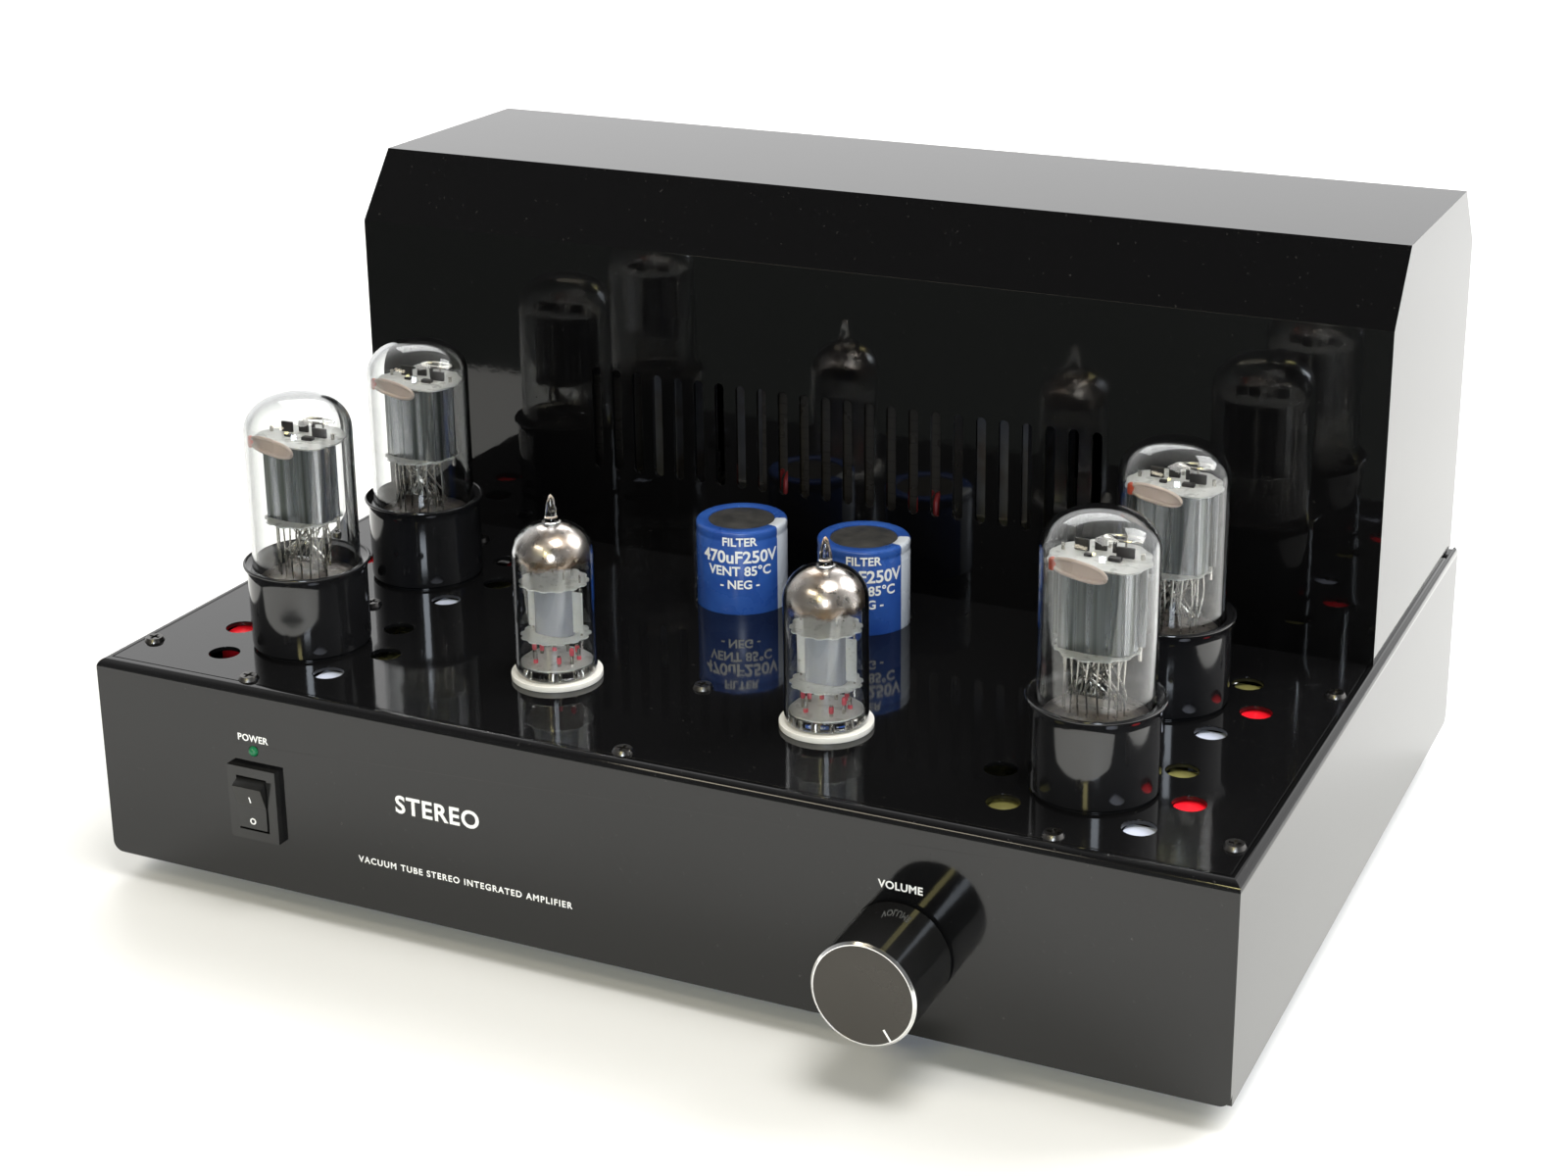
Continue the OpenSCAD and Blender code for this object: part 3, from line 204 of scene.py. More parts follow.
def plainPlastic(name, colour, roughness, grain=900, strength=0.05, lighter=1.5, gloss=1.5):
    # moulded plastic: fine grain, slight colour drift, rubbed patches; gloss is its refractive index
    shade = Shade(name, colour, roughness)
    shade.set("IOR", gloss)
    drift = shade.remap(shade.noise(60, 4), 0.35, 0.7, 0, 1)
    shade.colour(shade.mix(drift, colour, tuple(min(1.0, c * lighter) for c in colour)))
    shade.rough(shade.remap(shade.noise(35, 5), 0.3, 0.7, roughness * 0.75, min(1.0, roughness * 1.3)))
    shade.bump(shade.noise(grain, 3), strength, 0.0003)
    return shade.material


def anodeMetal():
    # drawn nickel sheet: long upright streaks, some dark and a few bright
    shade = Shade("anode", (0.3, 0.31, 0.315), 0.3, 0.85)
    streak = shade.noise(420, 2, 0.5, (1, 1, 0.02))
    shade.colour(shade.mix(shade.remap(streak, 0.34, 0.66, 0, 1), (0.07, 0.08, 0.07), (0.42, 0.43, 0.46)))
    shade.rough(shade.remap(streak, 0.3, 0.7, 0.36, 0.2))
    shade.bump(shade.noise(600, 3, 0.5, (1, 1, 0.05)), 0.1, 0.0002)
    return shade.material


def bulbFloor():
    # brown-grey deposit at the foot of the bulb, speckled with bright specks
    shade = Shade("bulbFloor", (0.20, 0.165, 0.145), 0.35)
    cloud = shade.remap(shade.noise(240, 4), 0.35, 0.65, 0, 1)
    shade.colour(shade.mix(cloud, (0.10, 0.082, 0.072), (0.27, 0.23, 0.205)))
    speck = shade.remap(shade.noise(900, 2), 0.64, 0.7, 0, 1)
    shade.link(speck, shade.shader.inputs["Metallic"])
    shade.rough(shade.remap(speck, 0, 1, 0.4, 0.15))
    shade.bump(shade.noise(500, 3), 0.4, 0.0006)
    return shade.material


def plainMetal(name, colour, roughness, brushed=(1, 1, 1), strength=0.06):
    # bare metal: brushed or cast grain, tarnish in patches
    shade = Shade(name, colour, roughness, 1.0)
    tarnish = shade.remap(shade.noise(45, 5, 0.6), 0.4, 0.75, 0, 1)
    shade.colour(shade.mix(tarnish, colour, tuple(c * 0.6 for c in colour)))
    grain = shade.noise(160, 4, 0.6, brushed)
    shade.rough(shade.remap(grain, 0.3, 0.7, roughness * 0.7, min(1.0, roughness * 1.4)))
    shade.bump(shade.noise(500, 3, 0.5, brushed), strength, 0.0002)
    return shade.material


def laminations():
    # varnished edges of the stacked sheets, half a millimetre apart
    shade = Shade("laminations", (0.18, 0.18, 0.19), 0.42, 0.7)
    sheets = shade.wave(1000, "Y")
    rust = shade.remap(shade.noise(70, 5), 0.5, 0.75, 0, 1)
    shade.colour(shade.mix(rust, (0.19, 0.19, 0.20), (0.12, 0.085, 0.06)))
    shade.rough(shade.remap(shade.noise(200, 3), 0.3, 0.7, 0.32, 0.55))
    shade.bump(sheets, 0.5, 0.0002)
    return shade.material


def coilWrap():
    # dark varnished tape in turns with a thin shine
    shade = Shade("coilWrap", (0.030, 0.026, 0.022), 0.3)
    turns = shade.wave(95, "Z", profile="SAW")
    seam = shade.remap(turns, 0.0, 0.12, 1, 0)
    shade.colour(shade.mix(seam, (0.034, 0.030, 0.025), (0.012, 0.010, 0.009)))
    shade.rough(shade.remap(shade.noise(80, 4), 0.3, 0.7, 0.22, 0.42))
    shade.bump(turns, 0.25, 0.0003)
    return shade.material


def boardMask():
    # olive board with raised tracks
    shade = Shade("boardMask", (0.06, 0.06, 0.022), 0.28)
    tracks = shade.math("MAXIMUM", shade.wave(60, "X"), shade.wave(48, "Y"))
    line = shade.remap(tracks, 0.86, 0.90, 0, 1)
    shade.colour(shade.mix(line, (0.055, 0.055, 0.02), (0.12, 0.11, 0.04)))
    shade.rough(shade.remap(shade.noise(120, 3), 0.3, 0.7, 0.2, 0.36))
    shade.bump(line, 0.3, 0.00005)
    return shade.material


def clearGlass(name, tint, edge):
    # blown glass: a faint tint and very slight waves; the colour darkens where the wall is seen edge on,
    # painted shade for the dark rims that refraction gives
    shade = Shade(name, tint, 0.0, 0.0)
    shade.set("Transmission Weight", 1.0)
    shade.set("IOR", 1.46)
    facing = shade.tree.nodes.new("ShaderNodeLayerWeight")
    facing.inputs["Blend"].default_value = 0.5
    paintedEdgeShade = shade.remap(facing.outputs["Facing"], 0.2, 0.9, 0, 1)
    # painted shade: the colour runs from the tint to the edge colour as the wall turns edge on
    shade.colour(shade.mix(paintedEdgeShade, tint, edge))
    shade.rough(shade.remap(shade.noise(40, 3), 0.45, 0.8, 0.0, 0.03))
    shade.bump(shade.noise(55, 2), 0.03, 0.0006)
    return shade.material


def mica(name, tone):
    # split mica: pale grey of the given tone with darker flecks
    shade = Shade(name, (tone, tone, tone * 0.97), 0.32)
    fleck = shade.remap(shade.noise(700, 4), 0.62, 0.74, 0, 1)
    shade.colour(shade.mix(fleck, (tone, tone, tone * 0.97), (tone * 0.62, tone * 0.59, tone * 0.53)))
    shade.rough(shade.remap(shade.noise(300, 3), 0.3, 0.7, 0.22, 0.45))
    shade.bump(shade.noise(900, 3), 0.12, 0.0002)
    return shade.material


def getterFlash(name, lowest, highest):
    # barium mirror on the inside of the glass, silver above and brown where it thins out
    shade = Shade(name, (0.5, 0.46, 0.42), 0.1, 1.0)
    ragged = shade.math("ADD", shade.height(), shade.remap(shade.noise(180, 4), 0.3, 0.7, -0.0012, 0.0012))
    rise = shade.remap(ragged, lowest, highest, 0, 1)
    patch = shade.remap(shade.noise(110, 3), 0.46, 0.62, 0, 1)
    tone = shade.mix(patch, (0.60, 0.54, 0.50), (0.36, 0.25, 0.16))
    shade.colour(shade.mix(rise, (0.26, 0.16, 0.09), tone))
    edge = shade.remap(ragged, lowest, lowest + 0.45 * (highest - lowest), 0, 1)
    shade.link(edge, shade.shader.inputs["Alpha"])
    shade.rough(shade.remap(shade.noise(250, 3), 0.3, 0.7, 0.2, 0.42))
    shade.bump(shade.noise(300, 2), 0.12, 0.0005)
    return shade.material


def anodisedFace():
    # turned face: rings too fine to count, so the gloss fans out
    shade = Shade("anodisedFace", (0.066, 0.062, 0.056), 0.3, 0.9)
    low, high, middle = span("volume_knob")
    rings = shade.tree.nodes.new("ShaderNodeTexWave")
    rings.wave_type = "RINGS"
    rings.rings_direction = "Y"
    rings.inputs["Scale"].default_value = 1500
    shade.link(shade.mapping(offset=(-middle[0], 0, -middle[2])), rings.inputs["Vector"])
    shade.bump(rings.outputs["Fac"], 0.03, 0.0001)
    shade.rough(shade.remap(shade.noise(90, 4), 0.3, 0.7, 0.24, 0.36))
    return shade.material


materials = {
    "enamel": blackEnamel(),
    "rubber": plainPlastic("rubber", (0.018, 0.018, 0.018), 0.75, 1400, 0.3),
    "zinc": plainMetal("zinc", (0.60, 0.61, 0.60), 0.32),
    "blackScrew": plainMetal("blackScrew", (0.16, 0.155, 0.15), 0.3),
    "laminations": laminations(),
    "coilWrap": coilWrap(),
    "leadSleeve": plainPlastic("leadSleeve", (0.16, 0.012, 0.012), 0.4),
    "board": boardMask(),
    "phenolic": plainPlastic("phenolic", (0.006, 0.006, 0.0065), 0.10, 500, 0.02, gloss=1.62),
    "ceramic": plainPlastic("ceramic", (0.78, 0.76, 0.71), 0.3, 700, 0.08, 1.08),
    "redPart": plainPlastic("redPart", (0.80, 0.010, 0.022), 0.3, lighter=1.2),
    "yellowPart": plainPlastic("yellowPart", (0.17, 0.16, 0.055), 0.35),
    "whitePart": plainPlastic("whitePart", (0.52, 0.56, 0.68), 0.4, lighter=1.1),
    "switch": plainPlastic("switchPlastic", (0.010, 0.010, 0.0098), 0.16, 1500, 0.05),
    "lens": plainPlastic("lens", (0.008, 0.13, 0.05), 0.12),
    "turnedMetal": plainMetal("turnedMetal", (0.78, 0.78, 0.76), 0.2, (8, 1, 8)),
    "brightEdge": plainMetal("brightEdge", (0.93, 0.93, 0.92), 0.16),
    "knobSide": plainPlastic("knobSide", (0.008, 0.008, 0.008), 0.06, 700, 0.01),
    "knobFace": anodisedFace(),
    "gold": plainMetal("gold", (0.80, 0.56, 0.22), 0.22),
    "redCap": plainPlastic("redCap", (0.45, 0.01, 0.015), 0.25),
    "blackCap": plainPlastic("blackCap", (0.016, 0.016, 0.016), 0.25),
    # the second colour of each glass is the painted shade at its edges
    "fuseGlass": clearGlass("fuseGlass", (0.9, 0.93, 0.9), (0.6, 0.66, 0.6)),
    "tubeGlass": clearGlass("tubeGlass", (0.955, 0.965, 0.96), (0.20, 0.21, 0.215)),
    "mica": mica("mica", 0.82),
    "largeMica": mica("largeMica", 0.50),
    "plate": anodeMetal(),
    "bulbFloor": bulbFloor(),
    "greyPlate": plainPlastic("greyPlate", (0.37, 0.38, 0.42), 0.4, lighter=1.15),
    "darkPlate": plainMetal("darkPlate", (0.075, 0.072, 0.07), 0.5),
    "wire": plainMetal("wire", (0.66, 0.63, 0.58), 0.25),
    "getter": plainPlastic("getter", (0.50, 0.40, 0.35), 0.28, lighter=1.2),
    "redBead": plainPlastic("redBead", (0.62, 0.07, 0.02), 0.35),
    "pinkBead": plainPlastic("pinkBead", (0.66, 0.10, 0.13), 0.35),
    "stem": clearGlass("stem", (0.93, 0.94, 0.92), (0.6, 0.62, 0.6)),
    "print": plainPlastic("print", (0.78, 0.78, 0.76), 0.45, lighter=1.08),
}

carriedOver = {
    "enamel": ("chassis_tray", "deck_plate", "rear_panel", "bottom_plate", "transformer_cover"),
    "rubber": ("feet", "lead_grommets"),
    "zinc": ("foot_screws", "core_clamps", "transformer_bolts", "board_pillars", "volume_pot", "pot_nut"),
    "blackScrew": ("panel_screws", "knob_grub_screw"),
    "laminations": ("mains_core", "output_core_left", "output_core_right"),
    "coilWrap": ("mains_coil", "output_coil_left", "output_coil_right"),
    "leadSleeve": ("transformer_leads",),
    "board": ("circuit_board",),
    "phenolic": ("octal_sockets",),
    "ceramic": ("noval_sockets",),
    "redPart": ("red_capacitors",),
    "yellowPart": ("yellow_capacitors",),
    "whitePart": ("white_resistors",),
    "switch": ("switch_housing", "switch_rocker", "power_inlet", "fuse_drawer"),
    "lens": ("power_lamp",),
    "turnedMetal": ("volume_shaft",),
    "gold": ("input_jacks", "speaker_posts"),
    "redCap": ("post_cap_1", "post_cap_4"),
    "blackCap": ("post_cap_2", "post_cap_3"),
    "fuseGlass": ("mains_fuse",),
}

edgeRadius = {           # in millimetres
    "chassis_tray": 0.35, "deck_plate": 0.2, "rear_panel": 0.2, "transformer_cover": 0.7,
    "switch_housing": 0.45, "switch_rocker": 0.4, "noval_sockets": 0.15, "panel_screws": 0.12,
    "power_inlet": 0.3, "fuse_drawer": 0.3, "input_jacks": 0.25, "speaker_posts": 0.25, "feet": 0.8,
    "red_capacitors": 0.6, "yellow_capacitors": 0.6, "white_resistors": 0.5,
}

edges = {
    "merge": 1e-6, "segments": 3, "sharpAngle": 28, "flatAngle": 0.3,
    "pierced": ("transformer_cover", "deck_plate"),      # plates with rows of openings
}


def easeEdges(node, radius):
    # joins the CAD node's loose triangles and rounds its sharp edges
    weld = nodes[node].modifiers.new("weld", "WELD")
    weld.merge_threshold = edges["merge"]
    if node in edges["pierced"]:
        flat = nodes[node].modifiers.new("flat", "DECIMATE")     # one face for each flat stretch
        flat.decimate_type = "DISSOLVE"
        flat.angle_limit = math.radians(edges["flatAngle"])
    bevel = nodes[node].modifiers.new("edge", "BEVEL")
    bevel.width = radius * mm
    bevel.segments = edges["segments"]
    bevel.limit_method = "ANGLE"
    bevel.angle_limit = math.radians(edges["sharpAngle"])
    bevel.harden_normals = True


def dressNodes():
    for key, names in carriedOver.items():
        for name in names:
            node = nodes[name]
            node.data.materials.clear()
            node.data.materials.append(materials[key])
    for name, radius in edgeRadius.items():
        easeEdges(name, radius)


dressNodes()
print("CAD nodes dressed")


# surfaces from arrays

def gridFaces(rows, columns, closed):
    # quads between neighbouring points of a rows x columns grid, as one array
    row = np.arange(rows - 1)[:, None] * columns
    left = np.arange(columns if closed else columns - 1)[None, :]
    right = (left + 1) % columns
    return np.stack([row + left, row + right, row + columns + right, row + columns + left], -1).reshape(-1, 4)


def lathe(profile, centre, steps=96, modulate=None):
    # each profile point (radius, height) is carried round the upright axis through centre;
    # modulate(angle) may scale the radius, as for teeth on a disc
    profile = np.asarray(profile, float)
    angle = np.linspace(0, turn, steps, endpoint=False)
    radius = np.repeat(profile[:, :1], steps, 1)
    height = np.repeat(profile[:, 1:], steps, 1)
    if modulate is not None:
        radius = radius * modulate(angle)[None, :]
    return np.stack([
        centre[0] + radius * np.cos(angle), centre[1] + radius * np.sin(angle), centre[2] + height
    ], -1), True


def tube(path, radius, sides=10, closedPath=False):
    # a ring square to the path at each of its points, with a point at each end to close it
    path = np.asarray(path, float)
    if closedPath:
        along = np.roll(path, -1, 0) - np.roll(path, 1, 0)
    else:
        along = np.gradient(path, axis=0)
    along /= np.linalg.norm(along, axis=1, keepdims=True)
    helper = np.where(np.abs(along[:, 2:3]) > 0.9, [[1.0, 0, 0]], [[0, 0, 1.0]])
    side = np.cross(along, helper)
    side /= np.linalg.norm(side, axis=1, keepdims=True)
    up = np.cross(side, along)
    angle = np.linspace(0, turn, sides, endpoint=False)[None, :, None]
    rings = path[:, None] + radius * (np.cos(angle) * side[:, None] + np.sin(angle) * up[:, None])
    if closedPath:
        return np.concatenate([rings, rings[:1]]), True
    ends = np.repeat(path[[0, -1]][:, None], sides, 1)
    return np.concatenate([ends[:1], rings, ends[1:]]), True


def roundedBlock(low, high, radius, steps=3):
    # a box whose upright and level edges are rounded: an outline with arcs at its corners, drawn in
    # by the same arc towards the bottom and the top, and to a point in the middle of both end faces
    low, high = np.asarray(low, float), np.asarray(high, float)
    middle, half = (low + high) / 2, (high - low) / 2
    arc = np.linspace(0, math.pi / 2, steps + 1)
    quarter = np.concatenate([arc + k * math.pi / 2 for k in range(4)])
    corner = np.repeat([[1, 1], [-1, 1], [-1, -1], [1, -1]], steps + 1, 0)
    across = np.concatenate([radius * np.sin(arc), radius * np.sin(arc[::-1])])
    rise = radius * (1 - np.cos(arc))
    height = low[2] + np.concatenate([[0], rise, 2 * half[2] - rise[::-1], [2 * half[2]]])
    bend = np.stack([np.cos(quarter), np.sin(quarter)], -1)
    outline = corner * (half[:2] - radius) + across[:, None, None] * bend
    outline = np.concatenate([outline[:1] * 0, outline, outline[-1:] * 0])
    return np.concatenate([middle[:2] + outline, np.repeat(height[:, None, None], len(quarter), 1)], -1), True


def arcPoints(centre, radius, first, last, steps):
    # points on an arc in a profile, angles in degrees
    angle = np.radians(np.linspace(first, last, steps))
    return np.stack([centre[0] + radius * np.cos(angle), centre[1] + radius * np.sin(angle)], -1)


def onCircle(count, radius, first, step):
    # points at even steps round a level circle, angles in degrees
    angle = np.radians(first + step * np.arange(count))
    return np.stack([radius * np.cos(angle), radius * np.sin(angle), np.zeros(count)], -1)


def addPiece(name, mesh, material, body, stands=()):
    piece = bpy.data.objects.new(name, mesh)
    scene.collection.objects.link(piece)
    mesh.materials.append(material)
    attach(piece, body)
    if stands:
        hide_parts(*stands)


def makePiece(name, surfaces, material, body, stands=(), sharp=40, wound=False):
    # joins the grids into one closed mesh and merges seams and poles; faces are turned outwards,
    # but those of a wound piece keep the side that its profiles give them
    vertices, faces, offset = [], [], 0
    for points, closed in surfaces:
        rows, columns = points.shape[:2]
        vertices.append(points.reshape(-1, 3))
        faces.append(gridFaces(rows, columns, closed) + offset)
        offset += rows * columns
    mesh = bpy.data.meshes.new(name)
    mesh.from_pydata(np.concatenate(vertices), [], np.concatenate(faces).tolist())
    work = bmesh.new()
    work.from_mesh(mesh)
    bmesh.ops.remove_doubles(work, verts=work.verts, dist=1e-7)
    bmesh.ops.dissolve_degenerate(work, edges=work.edges, dist=1e-8)
    if not wound:
        bmesh.ops.recalc_face_normals(work, faces=work.faces)
    work.to_mesh(mesh)
    work.free()
    mesh.shade_smooth()
    mesh.set_sharp_from_angle(angle=math.radians(sharp))
    addPiece(name, mesh, material, body, stands)


# power tubes, in millimetres from the sockets' top unless noted

powerTube = {
    "glassWall": 1.0, "domeHeight": 10.6, "glassFoot": 0.2,
    "rimInset": 1.0, "rimRoll": 0.45, "cupGap": 0.15, "cupFloor": 3.2, "keyRadius": 3.9,
    "pins": 8, "pinCircle": 8.725, "pinRadius": 1.15, "pinTip": 1.1, "pinEnd": -10.9,
    "highMica": 12.3, "micaGap": 22.2, "micaThick": 0.4,      # below the glass's top, and between the micas
    "highRadius": 12.6, "lowRadius": 10.5, "micaTeeth": 12, "toothDepth": 0.03, "micaCut": 8.4,
    "plateHalf": (9.4, 6.0), "plateRibs": 8, "plateWall": 0.05,
    "wingFrom": 8.8, "wingTo": 11.6, "wingHalf": 0.35,
    "rodRadius": 0.5, "wireRadius": 0.24, "wires": 20, "wireSpread": 15, "wireReach": (5, 8.8), "sway": 1.6,
    "uprights": 9, "uprightAt": (8.2, 6.4), "lean": 0.6,
    "stemTop": 24.0, "floorTop": 20.4, "floorFall": 1.6, "floorThick": 0.5, "firstSeed": 40,
}
# beam plate and grid tabs above the upper mica: middle in x and y, then width, depth and height
powerTubeTabs = (
    (-5.6, 3.0, 3.6, 0.8, 3.0), (-1.4, 4.6, 3.0, 0.8, 3.2), (2.2, 4.0, 1.0, 0.6, 3.4),
    (5.6, 1.8, 4.4, 0.9, 2.6), (4.0, -1.2, 3.2, 1.8, 1.0), (-2.8, -0.6, 2.0, 1.2, 0.8),
)
powerTubeRods = ((-9.9, 1.6), (9.9, 1.6), (0, 7.2), (-6.4, 5.4))
# the glass stem's heights with its half width and half depth there
powerTubeStem = (
    (5.2, 8.5, 8.5), (6.5, 8.0, 8.0), (9, 6.6, 6.2), (13, 6.0, 5.0), (16, 6.2, 3.6),
    (19, 6.5, 2.4), (22.5, 6.5, 1.9), (23.6, 6.2, 1.6), (24.0, 5.4, 1.0), (24.0, 0, 0),
)


def domeProfile(radius, bottom, top, height, squareness=0.88, steps=32):
    # upright wall, then a quarter of a superellipse: the cosine and the sine of the angle, each
    # raised to the squareness, times the radius and the dome's height
    angle = np.linspace(0, math.pi / 2, steps)
    across = radius * np.clip(np.cos(angle), 0, 1) ** squareness
    across[-1] = 0
    up = top - height + height * np.sin(angle) ** squareness
    return np.concatenate([[[radius, bottom]], np.stack([across, up], -1)])


def bulbWalls(radius, bottom, top, height, wall):
    # the outer profile runs from the middle of the foot up to the axis, and the inner one, a wall's
    # thickness inside it, runs back down, so that its faces look into the hollow
    outer = np.concatenate([[(0, bottom), (radius * 0.5, bottom)], domeProfile(radius, bottom, top, height)])
    lift = bottom + wall
    inner = np.concatenate([[(0, lift), (radius * 0.5, lift)],
                            domeProfile(radius - wall, lift, top - wall, height - wall)])
    return outer, inner[::-1]


def micaDisc(centre, radius, height, thickness, teeth, depth, cut=None):
    # a disc whose rim has small square-shouldered teeth, and a straight front edge where cut is given
    flat = np.array([(0, height), (radius * 0.7, height), (radius, height)])

    def rim(angle):
        toothed = 1 - depth / 2 + depth / 2 * np.tanh(3.5 * np.cos(teeth * angle))
        if cut is None:
            return toothed
        return np.minimum(toothed, cut / radius / np.maximum(-np.sin(angle), 1e-3))
    return lathe(np.concatenate([flat, flat[::-1] + [0, thickness]]), centre, 160, rim)


def plateShell(centre, halfWidth, halfDepth, low, high, ribs, wall):
    # a flattened tube with ribs pressed along it: the radius follows a rounded rectangle, the ribs are
    # narrow humps at even steps round it, and the inside is the same outline, smaller by the wall's share
    angle = np.linspace(0, turn, 144, endpoint=False)
    power = 2 / 3.6
    hump = 1 + 0.2 * np.clip(np.cos(ribs * angle) - 0.75, 0, 1)
    x = halfWidth * np.sign(np.cos(angle)) * np.abs(np.cos(angle)) ** power * hump
    y = halfDepth * np.sign(np.sin(angle)) * np.abs(np.sin(angle)) ** power * hump
    lip = 0.02 * (high - low)
    heights = np.array([low, low, low + lip, high - lip, high, high, low])
    scale = np.array([1 - wall, 1, 1, 1, 1, 1 - wall, 1 - wall])[:, None]
    return np.stack([
        centre[0] + x * scale, centre[1] + y * scale, np.repeat(centre[2] + heights[:, None], len(angle), 1)
    ], -1), True


def makePowerTube(index):
    t = powerTube
    body = f"power_tube_{index}"
    baseLow, baseHigh, baseMiddle = span(f"power_base_{index}")
    glassLow, glassHigh, _ = span(f"power_glass_{index}")
    socketTop = span("octal_sockets")[1][2]
    centre = np.array([baseMiddle[0], baseMiddle[1], socketTop])
    rimRadius = (baseHigh[0] - baseLow[0]) / 2
    rimTop = baseHigh[2] - socketTop
    keyEnd = baseLow[2] - socketTop
    glassTop = glassHigh[2] - socketTop
    glassRadius = (glassHigh[0] - glassLow[0]) / 2
    wall = t["glassWall"] * mm
    makePowerBase(index, body, centre, rimRadius, rimTop, keyEnd, glassRadius + t["cupGap"] * mm)

    # eight pins with rounded ends
    shank = t["pinRadius"] * mm
    tip = arcPoints((0, (t["pinEnd"] + t["pinTip"]) * mm), t["pinTip"] * mm, -90, 0, 6)
    pin = np.concatenate([tip, [(shank, 0.2 * mm), (0, 0.2 * mm)]])
    places = centre + onCircle(t["pins"], t["pinCircle"] * mm, 22.5, 45)
    makePiece(f"powerTubePins{index}", [lathe(pin, place, 20) for place in places],
              materials["gold"], body)

    foot = glassLow[2] - socketTop + t["glassFoot"] * mm
    walls = bulbWalls(glassRadius, foot, glassTop, t["domeHeight"] * mm, wall)
    makePiece(f"powerTubeGlass{index}", [lathe(profile, centre) for profile in walls],
              materials["tubeGlass"], body, [f"power_glass_{index}"], sharp=60, wound=True)
    makePowerCage(index, body, centre, glassTop, glassRadius - wall)


def makePowerBase(index, body, centre, rimRadius, rimTop, keyEnd, cup):
    # moulded base: slightly waisted, with a rolled, flared rim, a cup for the glass and the spigot below
    t = powerTube
    waist = rimRadius - t["rimInset"] * mm
    roll = t["rimRoll"] * mm
    key = t["keyRadius"] * mm
    spigot = [(0, keyEnd), (key - 0.9 * mm, keyEnd), (key - 0.2 * mm, keyEnd + 0.8 * mm),
              (key, keyEnd + 1.6 * mm), (key, 0)]
    side = [(waist - 1.1 * mm, 0), (waist - 0.25 * mm, 0.6 * mm), (waist - 0.1 * mm, 2 * mm),
            (waist - 0.1 * mm, rimTop * 0.5), (waist - 0.1 * mm, rimTop - 3.6 * mm),
            (waist + 0.05 * mm, rimTop - 2.6 * mm), (waist + 0.4 * mm, rimTop - 1.6 * mm),
            (rimRadius - 0.05 * mm, rimTop - 0.8 * mm)]
    rim = arcPoints((rimRadius - roll, rimTop - roll), roll, 0, 180, 9)
    floor = t["cupFloor"] * mm
    inside = [(cup, rimTop - 2 * roll), (cup, floor + 0.2 * mm), (0, floor)]
    makePiece(f"powerTubeBase{index}", [lathe(np.concatenate([spigot, side, rim, inside]), centre)],
              materials["phenolic"], body, [f"power_base_{index}"])


def makePowerCage(index, body, centre, glassTop, inside):
    t = powerTube
    highMica = glassTop - t["highMica"] * mm
    lowMica = highMica - t["micaGap"] * mm
    thick = t["micaThick"] * mm
    discs = [
        micaDisc(centre, t["highRadius"] * mm, highMica, thick, t["micaTeeth"], t["toothDepth"],
                 t["micaCut"] * mm),
        micaDisc(centre, t["lowRadius"] * mm, lowMica, thick, t["micaTeeth"], 2 * t["toothDepth"]),
    ]
    makePiece(f"powerTubeMica{index}", discs, materials["largeMica"], body,
              [f"power_cage_{index}"], sharp=30)

    # ribbed plate with a flat wing at each side
    halfWidth, halfDepth = np.array(t["plateHalf"]) * mm
    plates = [plateShell(centre, halfWidth, halfDepth, lowMica + thick, highMica, t["plateRibs"],
                         t["plateWall"])]
    wing = t["wingHalf"] * mm
    for side in (-1, 1):
        inner, outer = sorted((side * t["wingFrom"] * mm, side * t["wingTo"] * mm))
        plates.append(roundedBlock(centre + [inner, -wing, lowMica + 1.6 * mm],
                                   centre + [outer, wing, highMica - 0.4 * mm], 0.2 * mm))
    makePiece(f"powerTubePlate{index}", plates, materials["plate"], body, sharp=35)

    tabs = []
    for x, y, width, depth, height in powerTubeTabs:
        low = centre + np.array([x - width / 2, y - depth / 2, 0]) * mm + [0, 0, highMica + 0.35 * mm]
        tabs.append(roundedBlock(low, low + np.array([width, depth, height]) * mm, 0.2 * mm))
    makePiece(f"powerTubeTabs{index}", tabs, materials["darkPlate"], body)
    makePowerWires(index, body, centre, lowMica, highMica)

    # glass stem: a round foot that is pressed flat where the wires come out
    angle = np.linspace(0, turn, 64, endpoint=False)
    height, wide, deep = np.array(powerTubeStem).T[:, :, None] * mm
    stem = np.stack([centre[0] + wide * np.cos(angle), centre[1] + deep * np.sin(angle),
                     np.repeat(centre[2] + height, len(angle), 1)], -1)
    floor = np.repeat((centre + [0, 0, height[0, 0]])[None, None], len(angle), 1)
    makePiece(f"powerTubeStem{index}", [(np.concatenate([floor, stem]), True)], materials["stem"], body)

    # the deposit that hides the bulb's foot: height falls with the square of the distance from the middle
    share = np.linspace(0, 1, 14)
    dish = np.stack([share * (inside - 0.1 * mm), (t["floorTop"] - t["floorFall"] * share ** 2) * mm], -1)
    under = dish[::-1] - [0, t["floorThick"] * mm]
    makePiece(f"powerTubeFloor{index}", [lathe(np.concatenate([under, dish]), centre, 64)],
              materials["bulbFloor"], body, sharp=50)
    makeGetters(index, body, centre, highMica)


